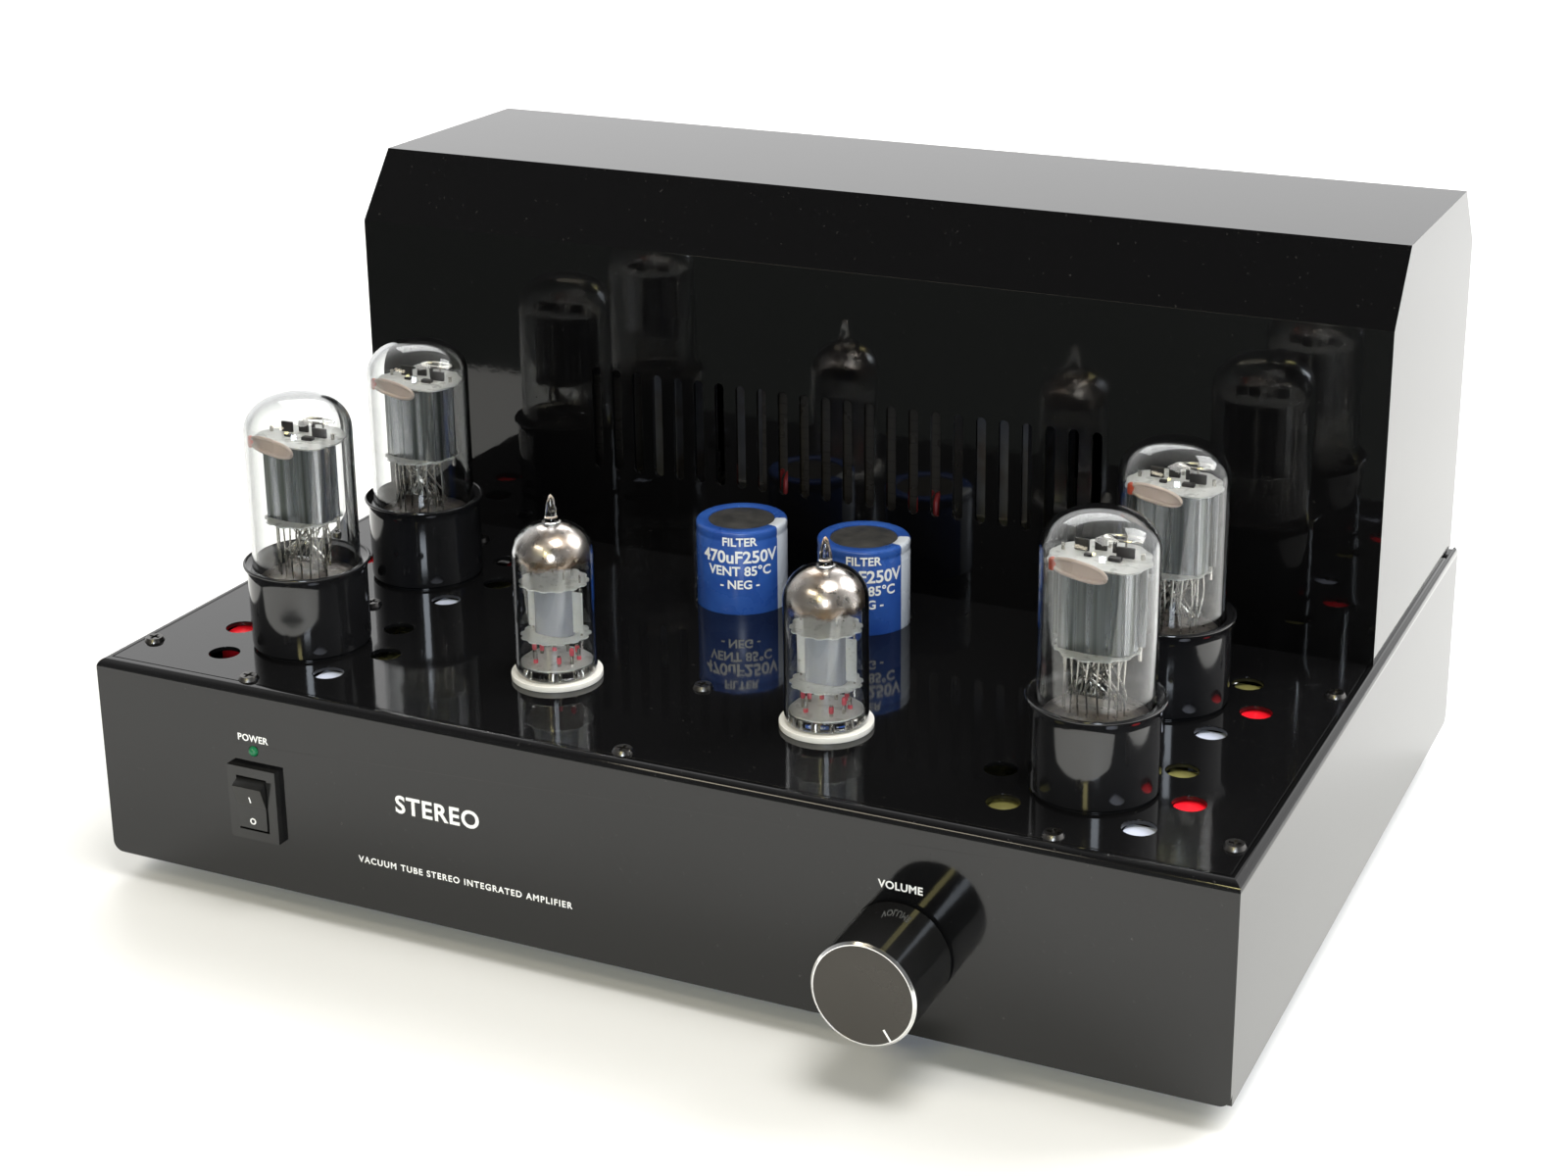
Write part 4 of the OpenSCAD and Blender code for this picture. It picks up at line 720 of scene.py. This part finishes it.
def makePowerWires(index, body, centre, lowMica, highMica):
    # support rods through both micas, wires that fan out from the stem along eased paths, and
    # upright wires at the back, leaning by chance
    t = powerTube
    chance = np.random.default_rng(t["firstSeed"] + index)
    thin = t["wireRadius"] * mm
    rods = []
    for x, y in powerTubeRods:
        foot = centre + np.array([x * mm, y * mm, lowMica - 2.6 * mm])
        lift = np.array([0, 0, highMica - lowMica + 4.6 * mm])
        rods.append(tube([foot, foot + lift / 2, foot + lift], t["rodRadius"] * mm))
    share = np.linspace(0, 1, 12)[:, None]
    ease = share ** 2 * (3 - 2 * share)
    for k in range(t["wires"]):
        across = (k / (t["wires"] - 1) - 0.5) * t["wireSpread"]
        start = centre + np.array([across, 0, t["stemTop"] - 1]) * mm
        angle = chance.uniform(0, turn)
        reach = chance.uniform(*t["wireReach"]) * mm
        end = centre + np.array([math.cos(angle) * reach, math.sin(angle) * reach * 0.7, lowMica])
        sideways = np.array([[chance.uniform(-1, 1), chance.uniform(-1, 1), 0]]) * t["sway"] * mm
        path = start + (end - start) * np.concatenate([ease, ease, share], 1)
        rods.append(tube(path + np.sin(share * math.pi) * sideways, thin, 8))
    wide, deep = t["uprightAt"]
    for k in range(t["uprights"]):
        angle = math.radians(200 + 17.5 * k)
        foot = centre + np.array([math.cos(angle) * wide, math.sin(angle) * deep, t["floorTop"]]) * mm
        lift = np.array([0, 0, lowMica - t["floorTop"] * mm])
        lean = np.array([chance.uniform(-t["lean"], t["lean"]), 0, 0]) * mm
        rods.append(tube([foot, foot + lift / 2 + lean, foot + lift], thin, 8))
    makePiece(f"powerTubeRods{index}", rods, materials["wire"], body)


# oval dish getter in front of the upper mica, and a smaller ring above it
getterShape = {
    "middle": (-1.8, -9.6), "halfLength": 6.5, "halfHeight": 1.9, "tilt": 10.0, "rim": 0.5,
    "strutRadius": 0.35,
    "ringMiddle": (4.6, 3.2), "ringHalf": (4.6, 2.0), "ringLift": 4.6, "ringRadius": 0.38, "postRadius": 0.3,
    "steps": 48, "beadRadius": 0.75, "beadHalf": 0.9,
}
# the dish's profile: share of the oval, and how far it stands back
dishProfile = ((0, 0.45), (0.5, 0.45), (0.92, 0.3), (0.92, 0.05), (0.5, 0.15), (0, 0.15))
getterStrut = ((2.0, 0.6, -0.5), (2.2, 2.0, -1.4), (2.4, 3.6, -2.2))


def makeGetters(index, body, centre, highMica):
    # the dish stands on edge and drops to the right: an oval whose cosine is raised to a power, turned
    # by its tilt; the ring is a level oval on a post
    g = getterShape
    around = np.linspace(0, turn, g["steps"], endpoint=False)
    tilt = math.radians(g["tilt"])
    middle = centre + np.array([*g["middle"], 0]) * mm + [0, 0, highMica]

    def onDish(scale, back):
        x = g["halfLength"] * np.sign(np.cos(around)) * np.abs(np.cos(around)) ** 0.75 * scale
        z = g["halfHeight"] * np.sin(around) * scale
        across = x * math.cos(tilt) + z * math.sin(tilt)
        up = z * math.cos(tilt) - x * math.sin(tilt)
        return middle + np.stack([across, np.full(g["steps"], back), up], -1) * mm

    rim = onDish(1, 0)
    dish = np.array([onDish(scale, back) for scale, back in dishProfile])
    strut = middle + np.array(getterStrut) * mm
    surfaces = [tube(rim, g["rim"] * mm, 12, True), (dish, True), tube(strut, g["strutRadius"] * mm)]
    makePiece(f"powerTubeGetter{index}", surfaces, materials["getter"], body)

    ringX, ringY = g["ringMiddle"]
    halfX, halfY = g["ringHalf"]
    lift = highMica + g["ringLift"] * mm
    ring = centre + np.stack([(ringX + halfX * np.cos(around)) * mm, (ringY + halfY * np.sin(around)) * mm,
                              np.full(g["steps"], lift)], -1)
    heights = (highMica, highMica + 2.5 * mm, lift)
    post = centre + np.array([[ringX * mm, (ringY + halfY) * mm, height] for height in heights])
    surfaces = [tube(ring, g["ringRadius"] * mm, 8, True), tube(post, g["postRadius"] * mm)]
    makePiece(f"powerTubeRing{index}", surfaces, materials["wire"], body)

    radius, half = g["beadRadius"] * mm, g["beadHalf"] * mm
    beadShape = np.concatenate([[(0, -1.5 * mm)], arcPoints((0, -half), radius, -60, 0, 5),
                                arcPoints((0, half), radius, 0, 90, 7)])
    makePiece(f"powerTubeBead{index}", [lathe(beadShape, rim[np.argmin(rim[:, 0])], 20)],
              materials["redBead"], body)


for index in range(1, 5):
    makePowerTube(index)
print("power tubes made")


# small tubes, in millimetres from the sockets' top

smallTube = {
    "glassWall": 0.9, "tipHeight": 7.4, "domeHeight": 9.6, "squareness": 0.92, "wallFoot": 2.2, "neck": 2.3,
    "floor": 2.9, "flashFoot": 26, "flashGap": 0.06, "flashFrom": 31.0, "flashFull": 35.0,
    "pins": 9, "pinCircle": 5.945, "pinRadius": 0.5, "pinEnd": -6.5, "pinTop": 6.4,
    "beadFrom": 3.6, "beadStep": 1.6, "beadRadius": 0.62, "beadHalf": 0.6,
    "footGap": 0.5, "footHeight": 3.1, "footThick": 0.4,
    "micaGap": 0.7, "micaHeights": (10.6, 25.4), "micaThick": 0.35, "micaTeeth": 14, "toothDepth": 0.06,
    "anodeHalf": (5.2, 3.4), "anodeRibs": 4, "anodeWall": 0.03,
    "wingFrom": 5.0, "wingTo": 8.2, "wingHalf": 0.2,
    "rodFoot": 7.2, "rodHeight": 20.6, "rodRadius": 0.3,
    "ringRadius": 3.0, "ringHeight": 30.2, "ringThick": 0.45,
}
# the pulled-out tip of the glass: radius and height
glassTip = ((2.0, 0.15), (1.75, 0.9), (1.6, 2.2), (1.35, 4.0), (1.0, 5.6), (0.6, 6.8), (0.25, 7.3), (0, 7.4))
smallTubeRods = ((-3, 4.4), (3, 4.4), (-7.4, 0.6), (7.4, 0.6), (0, 6.0))
smallGetterPost = ((3.0, 0, 26.2), (3.0, 0, 29.0), (2.2, 0, 30.2))


def makeSmallTube(side):
    t = smallTube
    body = f"small_tube_{side}"
    low, high, middle = span(f"small_glass_{side}")
    seat = span("noval_sockets")[1][2]
    centre = np.array([middle[0], middle[1], seat])
    radius = (high[0] - low[0]) / 2
    wall = t["glassWall"] * mm
    domeTop = high[2] - seat - t["tipHeight"] * mm
    dome = t["domeHeight"] * mm
    square = t["squareness"]

    # envelope: a flat foot, the wall and dome, and the tip; the inner wall runs back down
    outer = domeProfile(radius, t["wallFoot"] * mm, domeTop, dome, square)
    foot = [(0, 0.05 * mm), (radius - 1.6 * mm, 0.05 * mm), (radius - 0.6 * mm, 0.5 * mm),
            (radius - 0.1 * mm, 1.3 * mm)]
    tip = np.array(glassTip) * mm + [0, domeTop]
    outer = np.concatenate([foot, outer[outer[:, 0] > t["neck"] * mm], tip])
    floor = t["floor"] * mm
    inner = domeProfile(radius - wall, floor + 0.1 * mm, domeTop - wall, dome - wall, square)
    inner = np.concatenate([[(0, floor), (radius * 0.6, floor)], inner])[::-1]
    makePiece(f"smallTubeGlass_{side}", [lathe(outer, centre, 80), lathe(inner, centre, 80)],
              materials["tubeGlass"], body, [f"small_glass_{side}"], sharp=60, wound=True)

    # silvered inside of the dome, a thin shell just within the inner wall
    gap = wall + t["flashGap"] * mm
    flash = domeProfile(radius - gap, t["flashFoot"] * mm, domeTop - gap, dome - gap, square)
    below = flash[::-1] - 0.05 * mm
    below[:, 0] = np.clip(below[:, 0], 0, None)
    flashShape = np.concatenate([below[:1] * [0, 1], below, flash])
    finish = getterFlash(f"getterFlash_{side}", seat + t["flashFrom"] * mm, seat + t["flashFull"] * mm)
    makePiece(f"smallTubeGetterFlash_{side}", [lathe(flashShape, centre, 64)], finish, body,
              sharp=80)

    # nine pins through the button base, each with a bead at one of three heights
    thin, end, top = t["pinRadius"] * mm, t["pinEnd"] * mm, t["pinTop"] * mm
    pin = np.concatenate([arcPoints((0, end), thin, -90, 0, 5), [(thin, top), (0, top + 0.2 * mm)]])
    places = centre + onCircle(t["pins"], t["pinCircle"] * mm, -54, 36)
    makePiece(f"smallTubePins_{side}", [lathe(pin, place, 14) for place in places],
              materials["wire"], body, [f"small_cage_{side}"])
    half, ball = t["beadHalf"] * mm, t["beadRadius"] * mm
    beadShape = np.concatenate([arcPoints((0, -half), ball, -90, 0, 4), arcPoints((0, half), ball, 0, 90, 4)])
    lifts = (t["beadFrom"] + t["beadStep"] * (np.arange(1, t["pins"] + 1) % 3)) * mm
    beads = [lathe(beadShape, place + [0, 0, lift], 14) for place, lift in zip(places, lifts)]
    makePiece(f"smallTubeBeads_{side}", beads, materials["pinkBead"], body)
    button = micaDisc(centre, radius - wall - t["footGap"] * mm, t["footHeight"] * mm, t["footThick"] * mm,
                      t["pins"], 0.02)
    makePiece(f"smallTubeFoot_{side}", [button], materials["mica"], body, sharp=30)
    makeSmallCage(side, body, centre, radius - wall - t["micaGap"] * mm)


def makeSmallCage(side, body, centre, micaRadius):
    # one flattened anode box between two micas, with a pale wing at each side, and its rods and getter ring
    t = smallTube
    levels = [height * mm for height in t["micaHeights"]]
    discs = [micaDisc(centre, micaRadius, level, t["micaThick"] * mm, t["micaTeeth"], t["toothDepth"])
             for level in levels]
    makePiece(f"smallTubeMica_{side}", discs, materials["mica"], body, sharp=30)
    halfWidth, halfDepth = np.array(t["anodeHalf"]) * mm
    anode = plateShell(centre, halfWidth, halfDepth, levels[0] + 0.5 * mm, levels[1] - 0.1 * mm,
                       t["anodeRibs"], t["anodeWall"])
    makePiece(f"smallTubeAnode_{side}", [anode], materials["greyPlate"], body, sharp=35)
    wings = []
    thick = t["wingHalf"] * mm
    for hand in (-1, 1):
        inner, outer = sorted((hand * t["wingFrom"] * mm, hand * t["wingTo"] * mm))
        wings.append(roundedBlock(centre + [inner, -thick, levels[0] + 1.2 * mm],
                                  centre + [outer, thick, levels[1] - 2.2 * mm], 0.1 * mm))
    makePiece(f"smallTubeWings_{side}", wings, materials["mica"], body, sharp=35)
    thin = t["rodRadius"] * mm
    rods = []
    for x, y in smallTubeRods:
        foot = centre + np.array([x, y, t["rodFoot"]]) * mm
        rods.append(tube([foot, foot + [0, 0, 9 * mm], foot + [0, 0, t["rodHeight"] * mm]], thin, 8))
    rods.append(tube(centre + np.array(smallGetterPost) * mm, thin, 8))
    ring = onCircle(32, t["ringRadius"] * mm, 0, 360 / 32) + [0, 0, t["ringHeight"] * mm]
    rods.append(tube(centre + ring, t["ringThick"] * mm, 8, True))
    makePiece(f"smallTubeRods_{side}", rods, materials["wire"], body)


for side in ("left", "right"):
    makeSmallTube(side)
print("small tubes made")


# lettering

lettering = {
    "capShare": 0.7,                           # height of a capital over the curve's size
    "thickness": 0.03, "proud": 0.03, "weight": 0.035, "curveSteps": 4,
    # words, height, spacing
    "power": ("POWER", 1.9, 1.05), "volume": ("VOLUME", 2.0, 1.05),
    "word": ("STEREO", 4.8, 1.1), "line": ("VACUUM TUBE STEREO INTEGRATED AMPLIFIER", 1.75, 1.22),
    "powerLift": 2.7, "volumeLift": 16.2,      # above the lamp and above the shaft
    "wordAt": (-52.5, 30.5), "lineAt": (-45.5, 13.6),
    "rocker": (("I", 0.9, 1.8), ("O", -5.6, 1.7)), "rockerWeight": 0.05,
    "rearHeight": 2.2, "rearSpacing": 1.05, "rearRows": (3.2, 7.6, 11.6), "inletLift": 1.6,
}


def letters(text, height, spacing=1.0, weight=lettering["weight"]):
    # plain capitals as a closed mesh lying in x and y, centred in x, standing on y = 0;
    # weight widens the strokes by that share of the height
    curve = bpy.data.curves.new("letters", "FONT")
    curve.body = text
    curve.size = height / lettering["capShare"]
    curve.extrude = lettering["thickness"] * mm / 2
    curve.offset = weight * height
    curve.space_character = spacing
    curve.align_x = "CENTER"
    curve.resolution_u = lettering["curveSteps"]
    holder = bpy.data.objects.new("letters", curve)
    scene.collection.objects.link(holder)
    mesh = bpy.data.meshes.new_from_object(holder.evaluated_get(bpy.context.evaluated_depsgraph_get()))
    points = np.empty(len(mesh.vertices) * 3, np.float32)
    mesh.vertices.foreach_get("co", points)
    bpy.data.objects.remove(holder)
    return mesh, points.reshape(-1, 3).astype(float)


def printPiece(name, parts, body):
    # parts are (mesh, points moved to their place); they are joined into one piece
    work = bmesh.new()
    for mesh, points in parts:
        mesh.vertices.foreach_set("co", points.astype(np.float32).ravel())
        work.from_mesh(mesh)
    bmesh.ops.recalc_face_normals(work, faces=work.faces)
    mesh = bpy.data.meshes.new(name)
    work.to_mesh(mesh)
    work.free()
    addPiece(name, mesh, materials["print"], body)


def onFace(mesh, points, x, z, y, hand):
    # stands the lettering up on a face that looks towards -Y (hand 1) or +Y (hand -1)
    out = points[:, 2] + lettering["proud"] * mm
    return mesh, np.stack([x + hand * points[:, 0], y - hand * out, z + points[:, 1]], -1)


def makeFrontPrint():
    front = span("chassis_tray")[0][1]
    bottom = span("chassis_tray")[0][2]
    lamp = span("power_lamp")[2]
    knob = span("volume_shaft")[2]
    wordX, wordZ = lettering["wordAt"]
    lineX, lineZ = lettering["lineAt"]
    places = {
        "power": (lamp[0], lamp[2] + lettering["powerLift"] * mm),
        "volume": (knob[0], knob[2] + lettering["volumeLift"] * mm),
        "word": (wordX * mm, bottom + wordZ * mm), "line": (lineX * mm, bottom + lineZ * mm),
    }
    parts = []
    for key, (x, z) in places.items():
        text, height, spacing = lettering[key]
        parts.append(onFace(*letters(text, height * mm, spacing), x, z, front, 1))
    printPiece("frontPrint", parts, "chassis")


def makeRockerMarks():
    # a bar and a ring printed on the rocker's two paddles, laid on its CAD surface by casting along +Y
    rocker = nodes["switch_rocker"]
    middle = span("switch_rocker")[2]
    parts = []
    for text, rise, height in lettering["rocker"]:
        mesh, points = letters(text, height * mm, weight=lettering["rockerWeight"])
        x = middle[0] + points[:, 0]
        z = middle[2] + rise * mm + points[:, 1]
        hits = [rocker.ray_cast(Vector((px, -1.0, pz)), Vector((0, 1, 0)))[1][1] for px, pz in zip(x, z)]
        parts.append((mesh, np.stack([x, np.array(hits) - lettering["proud"] * mm - points[:, 2], z], -1)))
    printPiece("rockerMarks", parts, "rocker")


def makeRearPrint():
    # what plugs in where, in rows above the connectors
    back = span("rear_panel")[1][1]
    jackLow, jackHigh, jackMiddle = span("input_jacks")
    half = (jackHigh[2] - jackLow[2]) / 2
    first, second, third = jackMiddle[2] + half + np.array(lettering["rearRows"]) * mm
    posts = [span(f"post_cap_{index}")[2][0] for index in range(1, 5)]
    inner, outer = sorted(((posts[0] + posts[1]) / 2, (posts[2] + posts[3]) / 2))
    _, inletHigh, inletMiddle = span("power_inlet")
    marks = (
        ("L", jackHigh[0] - half, first), ("R", jackLow[0] + half, first), ("INPUT", jackMiddle[0], second),
        ("SPEAKERS", (inner + outer) / 2, third), ("L", outer, second), ("R", inner, second),
        ("AC IN", inletMiddle[0], inletHigh[2] + lettering["inletLift"] * mm),
    )
    height = lettering["rearHeight"] * mm
    parts = [onFace(*letters(text, height, lettering["rearSpacing"]), x, z, back, -1) for text, x, z in marks]
    printPiece("rearPrint", parts, "chassis")


makeFrontPrint()
makeRockerMarks()
makeRearPrint()
print("lettering made")


# filter capacitors

canShape = {
    "vent": 9.5, "lip": 0.5, "foot": 0.6, "shoulder": 0.9,
    "grooveRadius": 2.05, "grooveOut": 1.92, "grooveDown": 2.9,
    "stripeFrom": -0.24, "stripeTo": 0.36,      # radians round the can
    "printAngle": -67, "printProud": 0.08,
    # words, height and how far their middle is below the top
    "lines": (("FILTER", 2.4, 2.9), ("470uF250V", 3.5, 7.4),
              ("VENT 85°C", 2.7, 11.6), ("- NEG -", 2.5, 15.6)),
}


def sleeveMaterial(name, centre):
    # blue shrink sleeve with a pale stripe down one side
    shade = Shade(name, (0.02, 0.07, 0.30), 0.28)
    split = shade.tree.nodes.new("ShaderNodeSeparateXYZ")
    shade.link(shade.mapping(offset=(-centre[0], -centre[1], 0)), split.inputs["Vector"])
    angle = shade.math("ARCTAN2", split.outputs["Y"], split.outputs["X"])
    inStripe = shade.math("MULTIPLY", shade.math("GREATER_THAN", angle, canShape["stripeFrom"]),
                          shade.math("LESS_THAN", angle, canShape["stripeTo"]))
    patch = shade.remap(shade.noise(120, 4), 0.35, 0.7, 0, 1)
    blue = shade.mix(patch, (0.018, 0.065, 0.29), (0.028, 0.095, 0.36))
    shade.colour(shade.mix(inStripe, blue, (0.62, 0.66, 0.72)))
    shade.rough(shade.remap(shade.noise(60, 4), 0.3, 0.7, 0.2, 0.36))
    shade.bump(shade.noise(260, 3), 0.05, 0.0003)
    return shade.material


def ventDisc(name):
    # matt black rubber disc
    shade = Shade(name, (0.035, 0.035, 0.035), 0.55)
    patch = shade.remap(shade.noise(200, 4), 0.35, 0.7, 0, 1)
    shade.colour(shade.mix(patch, (0.03, 0.03, 0.03), (0.06, 0.058, 0.055)))
    shade.bump(shade.noise(1100, 3), 0.25, 0.0003)
    return shade.material


def makeCapacitor(side):
    name = f"filter_capacitor_{side}"
    low, high, middle = span(name)
    centre = np.array([middle[0], middle[1], low[2]])
    radius = (high[0] - low[0]) / 2
    total = high[2] - low[2]
    lip, vent, foot, shoulder = (canShape[key] * mm for key in ("lip", "vent", "foot", "shoulder"))
    top = total - lip
    groove = arcPoints((radius + canShape["grooveOut"] * mm, total - canShape["grooveDown"] * mm),
                       canShape["grooveRadius"] * mm, 200, 160, 7)
    can = np.concatenate([
        [(0, 0), (radius - foot, 0), (radius, foot)], groove,
        arcPoints((radius - shoulder, total - shoulder), shoulder, 0, 90, 8),
        [(vent + 0.4 * mm, total - 0.02 * mm), (vent, total - 0.25 * mm), (vent, top), (0, top)],
    ])
    makePiece(f"capacitorSleeve_{side}", [lathe(can, centre, 128)],
              sleeveMaterial(f"sleeve_{side}", centre), "chassis", [name], sharp=50)
    under, face = top - 0.1 * mm, top + 0.12 * mm
    disc = [(0, under), (vent * 0.99, under), (vent * 0.99, top + 0.05 * mm), (vent * 0.96, face), (0, face)]
    makePiece(f"capacitorVent_{side}", [lathe(disc, centre, 96)], ventDisc(f"ventDisc_{side}"), "chassis")
    parts = []
    for text, height, drop in canShape["lines"]:
        mesh, points = letters(text, height * mm)
        angle = math.radians(canShape["printAngle"]) + points[:, 0] / radius
        out = radius + canShape["printProud"] * mm + points[:, 2]
        up = centre[2] + total - (drop + height / 2) * mm + points[:, 1]
        wrapped = [centre[0] + out * np.cos(angle), centre[1] + out * np.sin(angle), up]
        parts.append((mesh, np.stack(wrapped, -1)))
    printPiece(f"capacitorPrint_{side}", parts, "chassis")


for side in ("left", "right"):
    makeCapacitor(side)
print("capacitors made")


# volume knob

knobShape = {
    "bevel": 0.6, "edgeWidth": 0.85, "edgeGap": 0.02, "faceDrop": 0.12, "backRound": 0.5,
    "bore": 3.1, "recess": 8.0, "recessDeep": 6.0, "solidFrom": 2.0,
    "pointerLength": 3.2, "pointerRadius": 0.42,
}
pointerClock = 146      # degrees clockwise from the top


def alongFront(profile, centre, steps=160):
    # like lathe, but about an axis along Y: profile points are (radius, distance towards +Y)
    points, closed = lathe(profile, (0, 0, 0), steps)
    return points[..., [0, 2, 1]] + centre, closed


def makeKnob():
    low, high, middle = span("volume_knob")
    centre = np.array([middle[0], low[1], middle[2]])      # middle of the front face
    radius = (high[0] - low[0]) / 2
    length = high[1] - low[1]
    k = {key: value * mm for key, value in knobShape.items()}
    step = k["bevel"] + k["edgeGap"]
    solid = k["bevel"] + k["solidFrom"]
    recess = length - k["recessDeep"]
    side = [(k["bore"], recess), (k["recess"] - 0.1 * mm, recess), (k["recess"], length),
            (radius - k["backRound"], length), (radius, length - k["backRound"]), (radius, step),
            (radius - 0.3 * mm, step), (k["bore"], solid), (k["bore"], recess)]
    makePiece("knobBody", [alongFront(side, centre)], materials["knobSide"], "volume",
              ["volume_knob"], sharp=35)
    outer = radius - k["edgeGap"]
    faceRadius = radius - k["edgeWidth"]
    ring = [(outer, step), (outer, k["bevel"] - k["edgeGap"]), (radius - k["bevel"], 0), (faceRadius, 0),
            (faceRadius, step), (outer, step)]
    makePiece("knobBrightEdge", [alongFront(ring, centre)], materials["brightEdge"], "volume",
              sharp=20)
    drop = k["faceDrop"]
    face = [(0, drop), (faceRadius * 0.5, drop), (faceRadius, drop), (faceRadius, solid), (0, solid)]
    makePiece("knobFace", [alongFront(face, centre)], materials["knobFace"], "volume",
              sharp=30)
    clock = math.radians(pointerClock)
    outward = np.array([math.sin(clock), 0, math.cos(clock)])
    start = centre + outward * (faceRadius - k["pointerLength"])
    end = centre + outward * (faceRadius + 0.2 * mm)
    path = start + (end - start) * np.linspace(0, 1, 8)[:, None] + [0, k["pointerRadius"], 0]
    makePiece("knobPointer", [tube(path, k["pointerRadius"], 14)], materials["print"], "volume")


makeKnob()
print("knob made")


# floor and light, in metres

studio = {
    "floorRadius": 9.0, "floorRings": 30,
    "flagFrom": -0.275, "flagTo": -1.8, "flagHalf": 1.4, "flagStep": 0.036, "flagLift": 0.002,
    "stepAt": -0.20, "stepWidth": 0.08, "sag": 0.0004, "flagGrid": (9, 141),
    "skyFront": 0.16, "skyBack": 1.30, "skyTop": 0.30,
}
# each light's place, aim, width and height, watts, colour, and whether shiny surfaces mirror it
softLights = {
    "rightLight": ((0.95, 0.85, 1.15), (0.35, 0.2, 0.0), (0.9, 0.9), 27, (1, 1, 1), False),
    "topLight": ((0.30, -0.25, 1.15), (0.05, -0.12, 0.0), (0.55, 0.55), 9.0, (1.0, 0.98, 0.94), False),
    "farLight": ((-1.3, 2.6, 2.2), (-1.5, 2.8, 0.0), (2.5, 2.5), 110, (1, 1, 1), False),
    "edgeLight": ((-0.45, -1.0, 1.12), (-0.05, 0.0, 0.15), (0.62, 0.25), 3.6, (1.0, 0.9, 0.7), True),
    "windowLight": ((1.02, -2.33, 0.75), (0.0, 0.0, 0.08), (0.5, 0.9), 34, (0.82, 0.9, 1.0), True),
    "lampLight": ((0.25, -2.1, 1.3), (0.0, 0.0, 0.08), (0.26, 0.4), 8, (1.0, 0.9, 0.4), True),
}
offTheCover = ("windowLight", "lampLight")      # from behind they would be white patches in its top


def addStage(name, points, closed, material):
    mesh = bpy.data.meshes.new(name)
    mesh.from_pydata(points.reshape(-1, 3), [], gridFaces(*points.shape[:2], closed).tolist())
    mesh.materials.append(material)
    surface = bpy.data.objects.new(name, mesh)
    scene.collection.objects.link(surface)
    return surface


def makeFloor():
    # a pale disc of floor, its points on rings further and further apart
    radius = np.concatenate([[0], np.geomspace(0.05, studio["floorRadius"], studio["floorRings"])])
    points, closed = lathe(np.stack([radius, np.zeros_like(radius)], -1), (0, 0, cadLow[2]), 96)
    shade = Shade("floor", (0.86, 0.86, 0.85), 0.6)
    patch = shade.remap(shade.noise(3, 3), 0.3, 0.7, 0, 1)
    shade.colour(shade.mix(patch, (0.85, 0.85, 0.84), (0.88, 0.88, 0.87)))
    shade.bump(shade.noise(300, 3), 0.02, 0.0005)
    addStage("floor", points, closed, shade.material)


def makeFlag():
    # black cloth in front of the amplifier that only its gloss and glass see: a level sheet whose near
    # edge steps back on the left, and whose height sags by a slow sine along Y
    rows, columns = studio["flagGrid"]
    x = np.linspace(-studio["flagHalf"], studio["flagHalf"], columns)
    y = np.linspace(studio["flagFrom"], studio["flagTo"], rows)[:, None]
    back = studio["flagStep"] * np.clip((x - studio["stepAt"]) / studio["stepWidth"], -1, 0)
    share = np.linspace(1, 0, rows)[:, None]
    sag = studio["sag"] * np.sin(2.1 * np.arange(rows))[:, None]
    height = cadLow[2] + studio["flagLift"] + sag
    points = np.stack(np.broadcast_arrays(x, y + share * back, height), -1)
    shade = Shade("flagCloth", (0.05, 0.058, 0.056), 0.9)
    shade.bump(shade.noise(800, 3), 0.2, 0.0005)
    flag = addStage("flag", points, False, shade.material)
    for ray in ("camera", "diffuse", "shadow", "volume_scatter"):
        setattr(flag, "visible_" + ray, False)


def makeSky():
    # soft studio: bright round the horizon behind, dim overhead and in front
    world = bpy.data.worlds.new("studio")
    scene.world = world
    world.use_nodes = True
    tree = world.node_tree
    background = tree.nodes["Background"]
    place = tree.nodes.new("ShaderNodeTexCoord")
    split = tree.nodes.new("ShaderNodeSeparateXYZ")
    tree.links.new(place.outputs["Generated"], split.inputs["Vector"])
    product = tree.nodes.new("ShaderNodeMath")
    product.operation = "MULTIPLY"
    ranges = (("Y", (-0.45, 0.55, studio["skyFront"], studio["skyBack"])),
              ("Z", (0.45, 0.95, 1.0, studio["skyTop"])))
    for target, (axis, numbers) in zip(product.inputs, ranges):
        node = tree.nodes.new("ShaderNodeMapRange")
        for socket, number in zip(("From Min", "From Max", "To Min", "To Max"), numbers):
            node.inputs[socket].default_value = number
        node.interpolation_type = "SMOOTHSTEP"
        tree.links.new(split.outputs[axis], node.inputs["Value"])
        tree.links.new(node.outputs["Result"], target)
    tree.links.new(product.outputs["Value"], background.inputs["Strength"])
    background.inputs["Color"].default_value = (1, 1, 1, 1)


def softLight(name, at, aim, size, power, colour, inGloss):
    # a soft box at one point, turned towards another
    data = bpy.data.lights.new(name, "AREA")
    data.shape = "RECTANGLE"
    data.size, data.size_y = size
    data.energy = power
    data.color = colour
    light = bpy.data.objects.new(name, data)
    scene.collection.objects.link(light)
    light.visible_glossy = inGloss
    direction = Vector(aim) - Vector(at)
    light.matrix_world = Matrix.Translation(at) @ direction.to_track_quat("-Z", "Y").to_matrix().to_4x4()
    return light


def keepOff(light, piece):
    # the light neither lights the piece nor is mirrored in it
    unlit = bpy.data.collections.new(light.name + "Unlit")
    unlit.objects.link(piece)
    unlit.collection_objects[0].light_linking.link_state = "EXCLUDE"
    light.light_linking.receiver_collection = unlit


makeFloor()
makeFlag()
makeSky()
for name, values in softLights.items():
    light = softLight(name, *values)
    if name in offTheCover:
        keepOff(light, nodes["transformer_cover"])
scene.view_settings.view_transform = "Standard"
print("studio made")
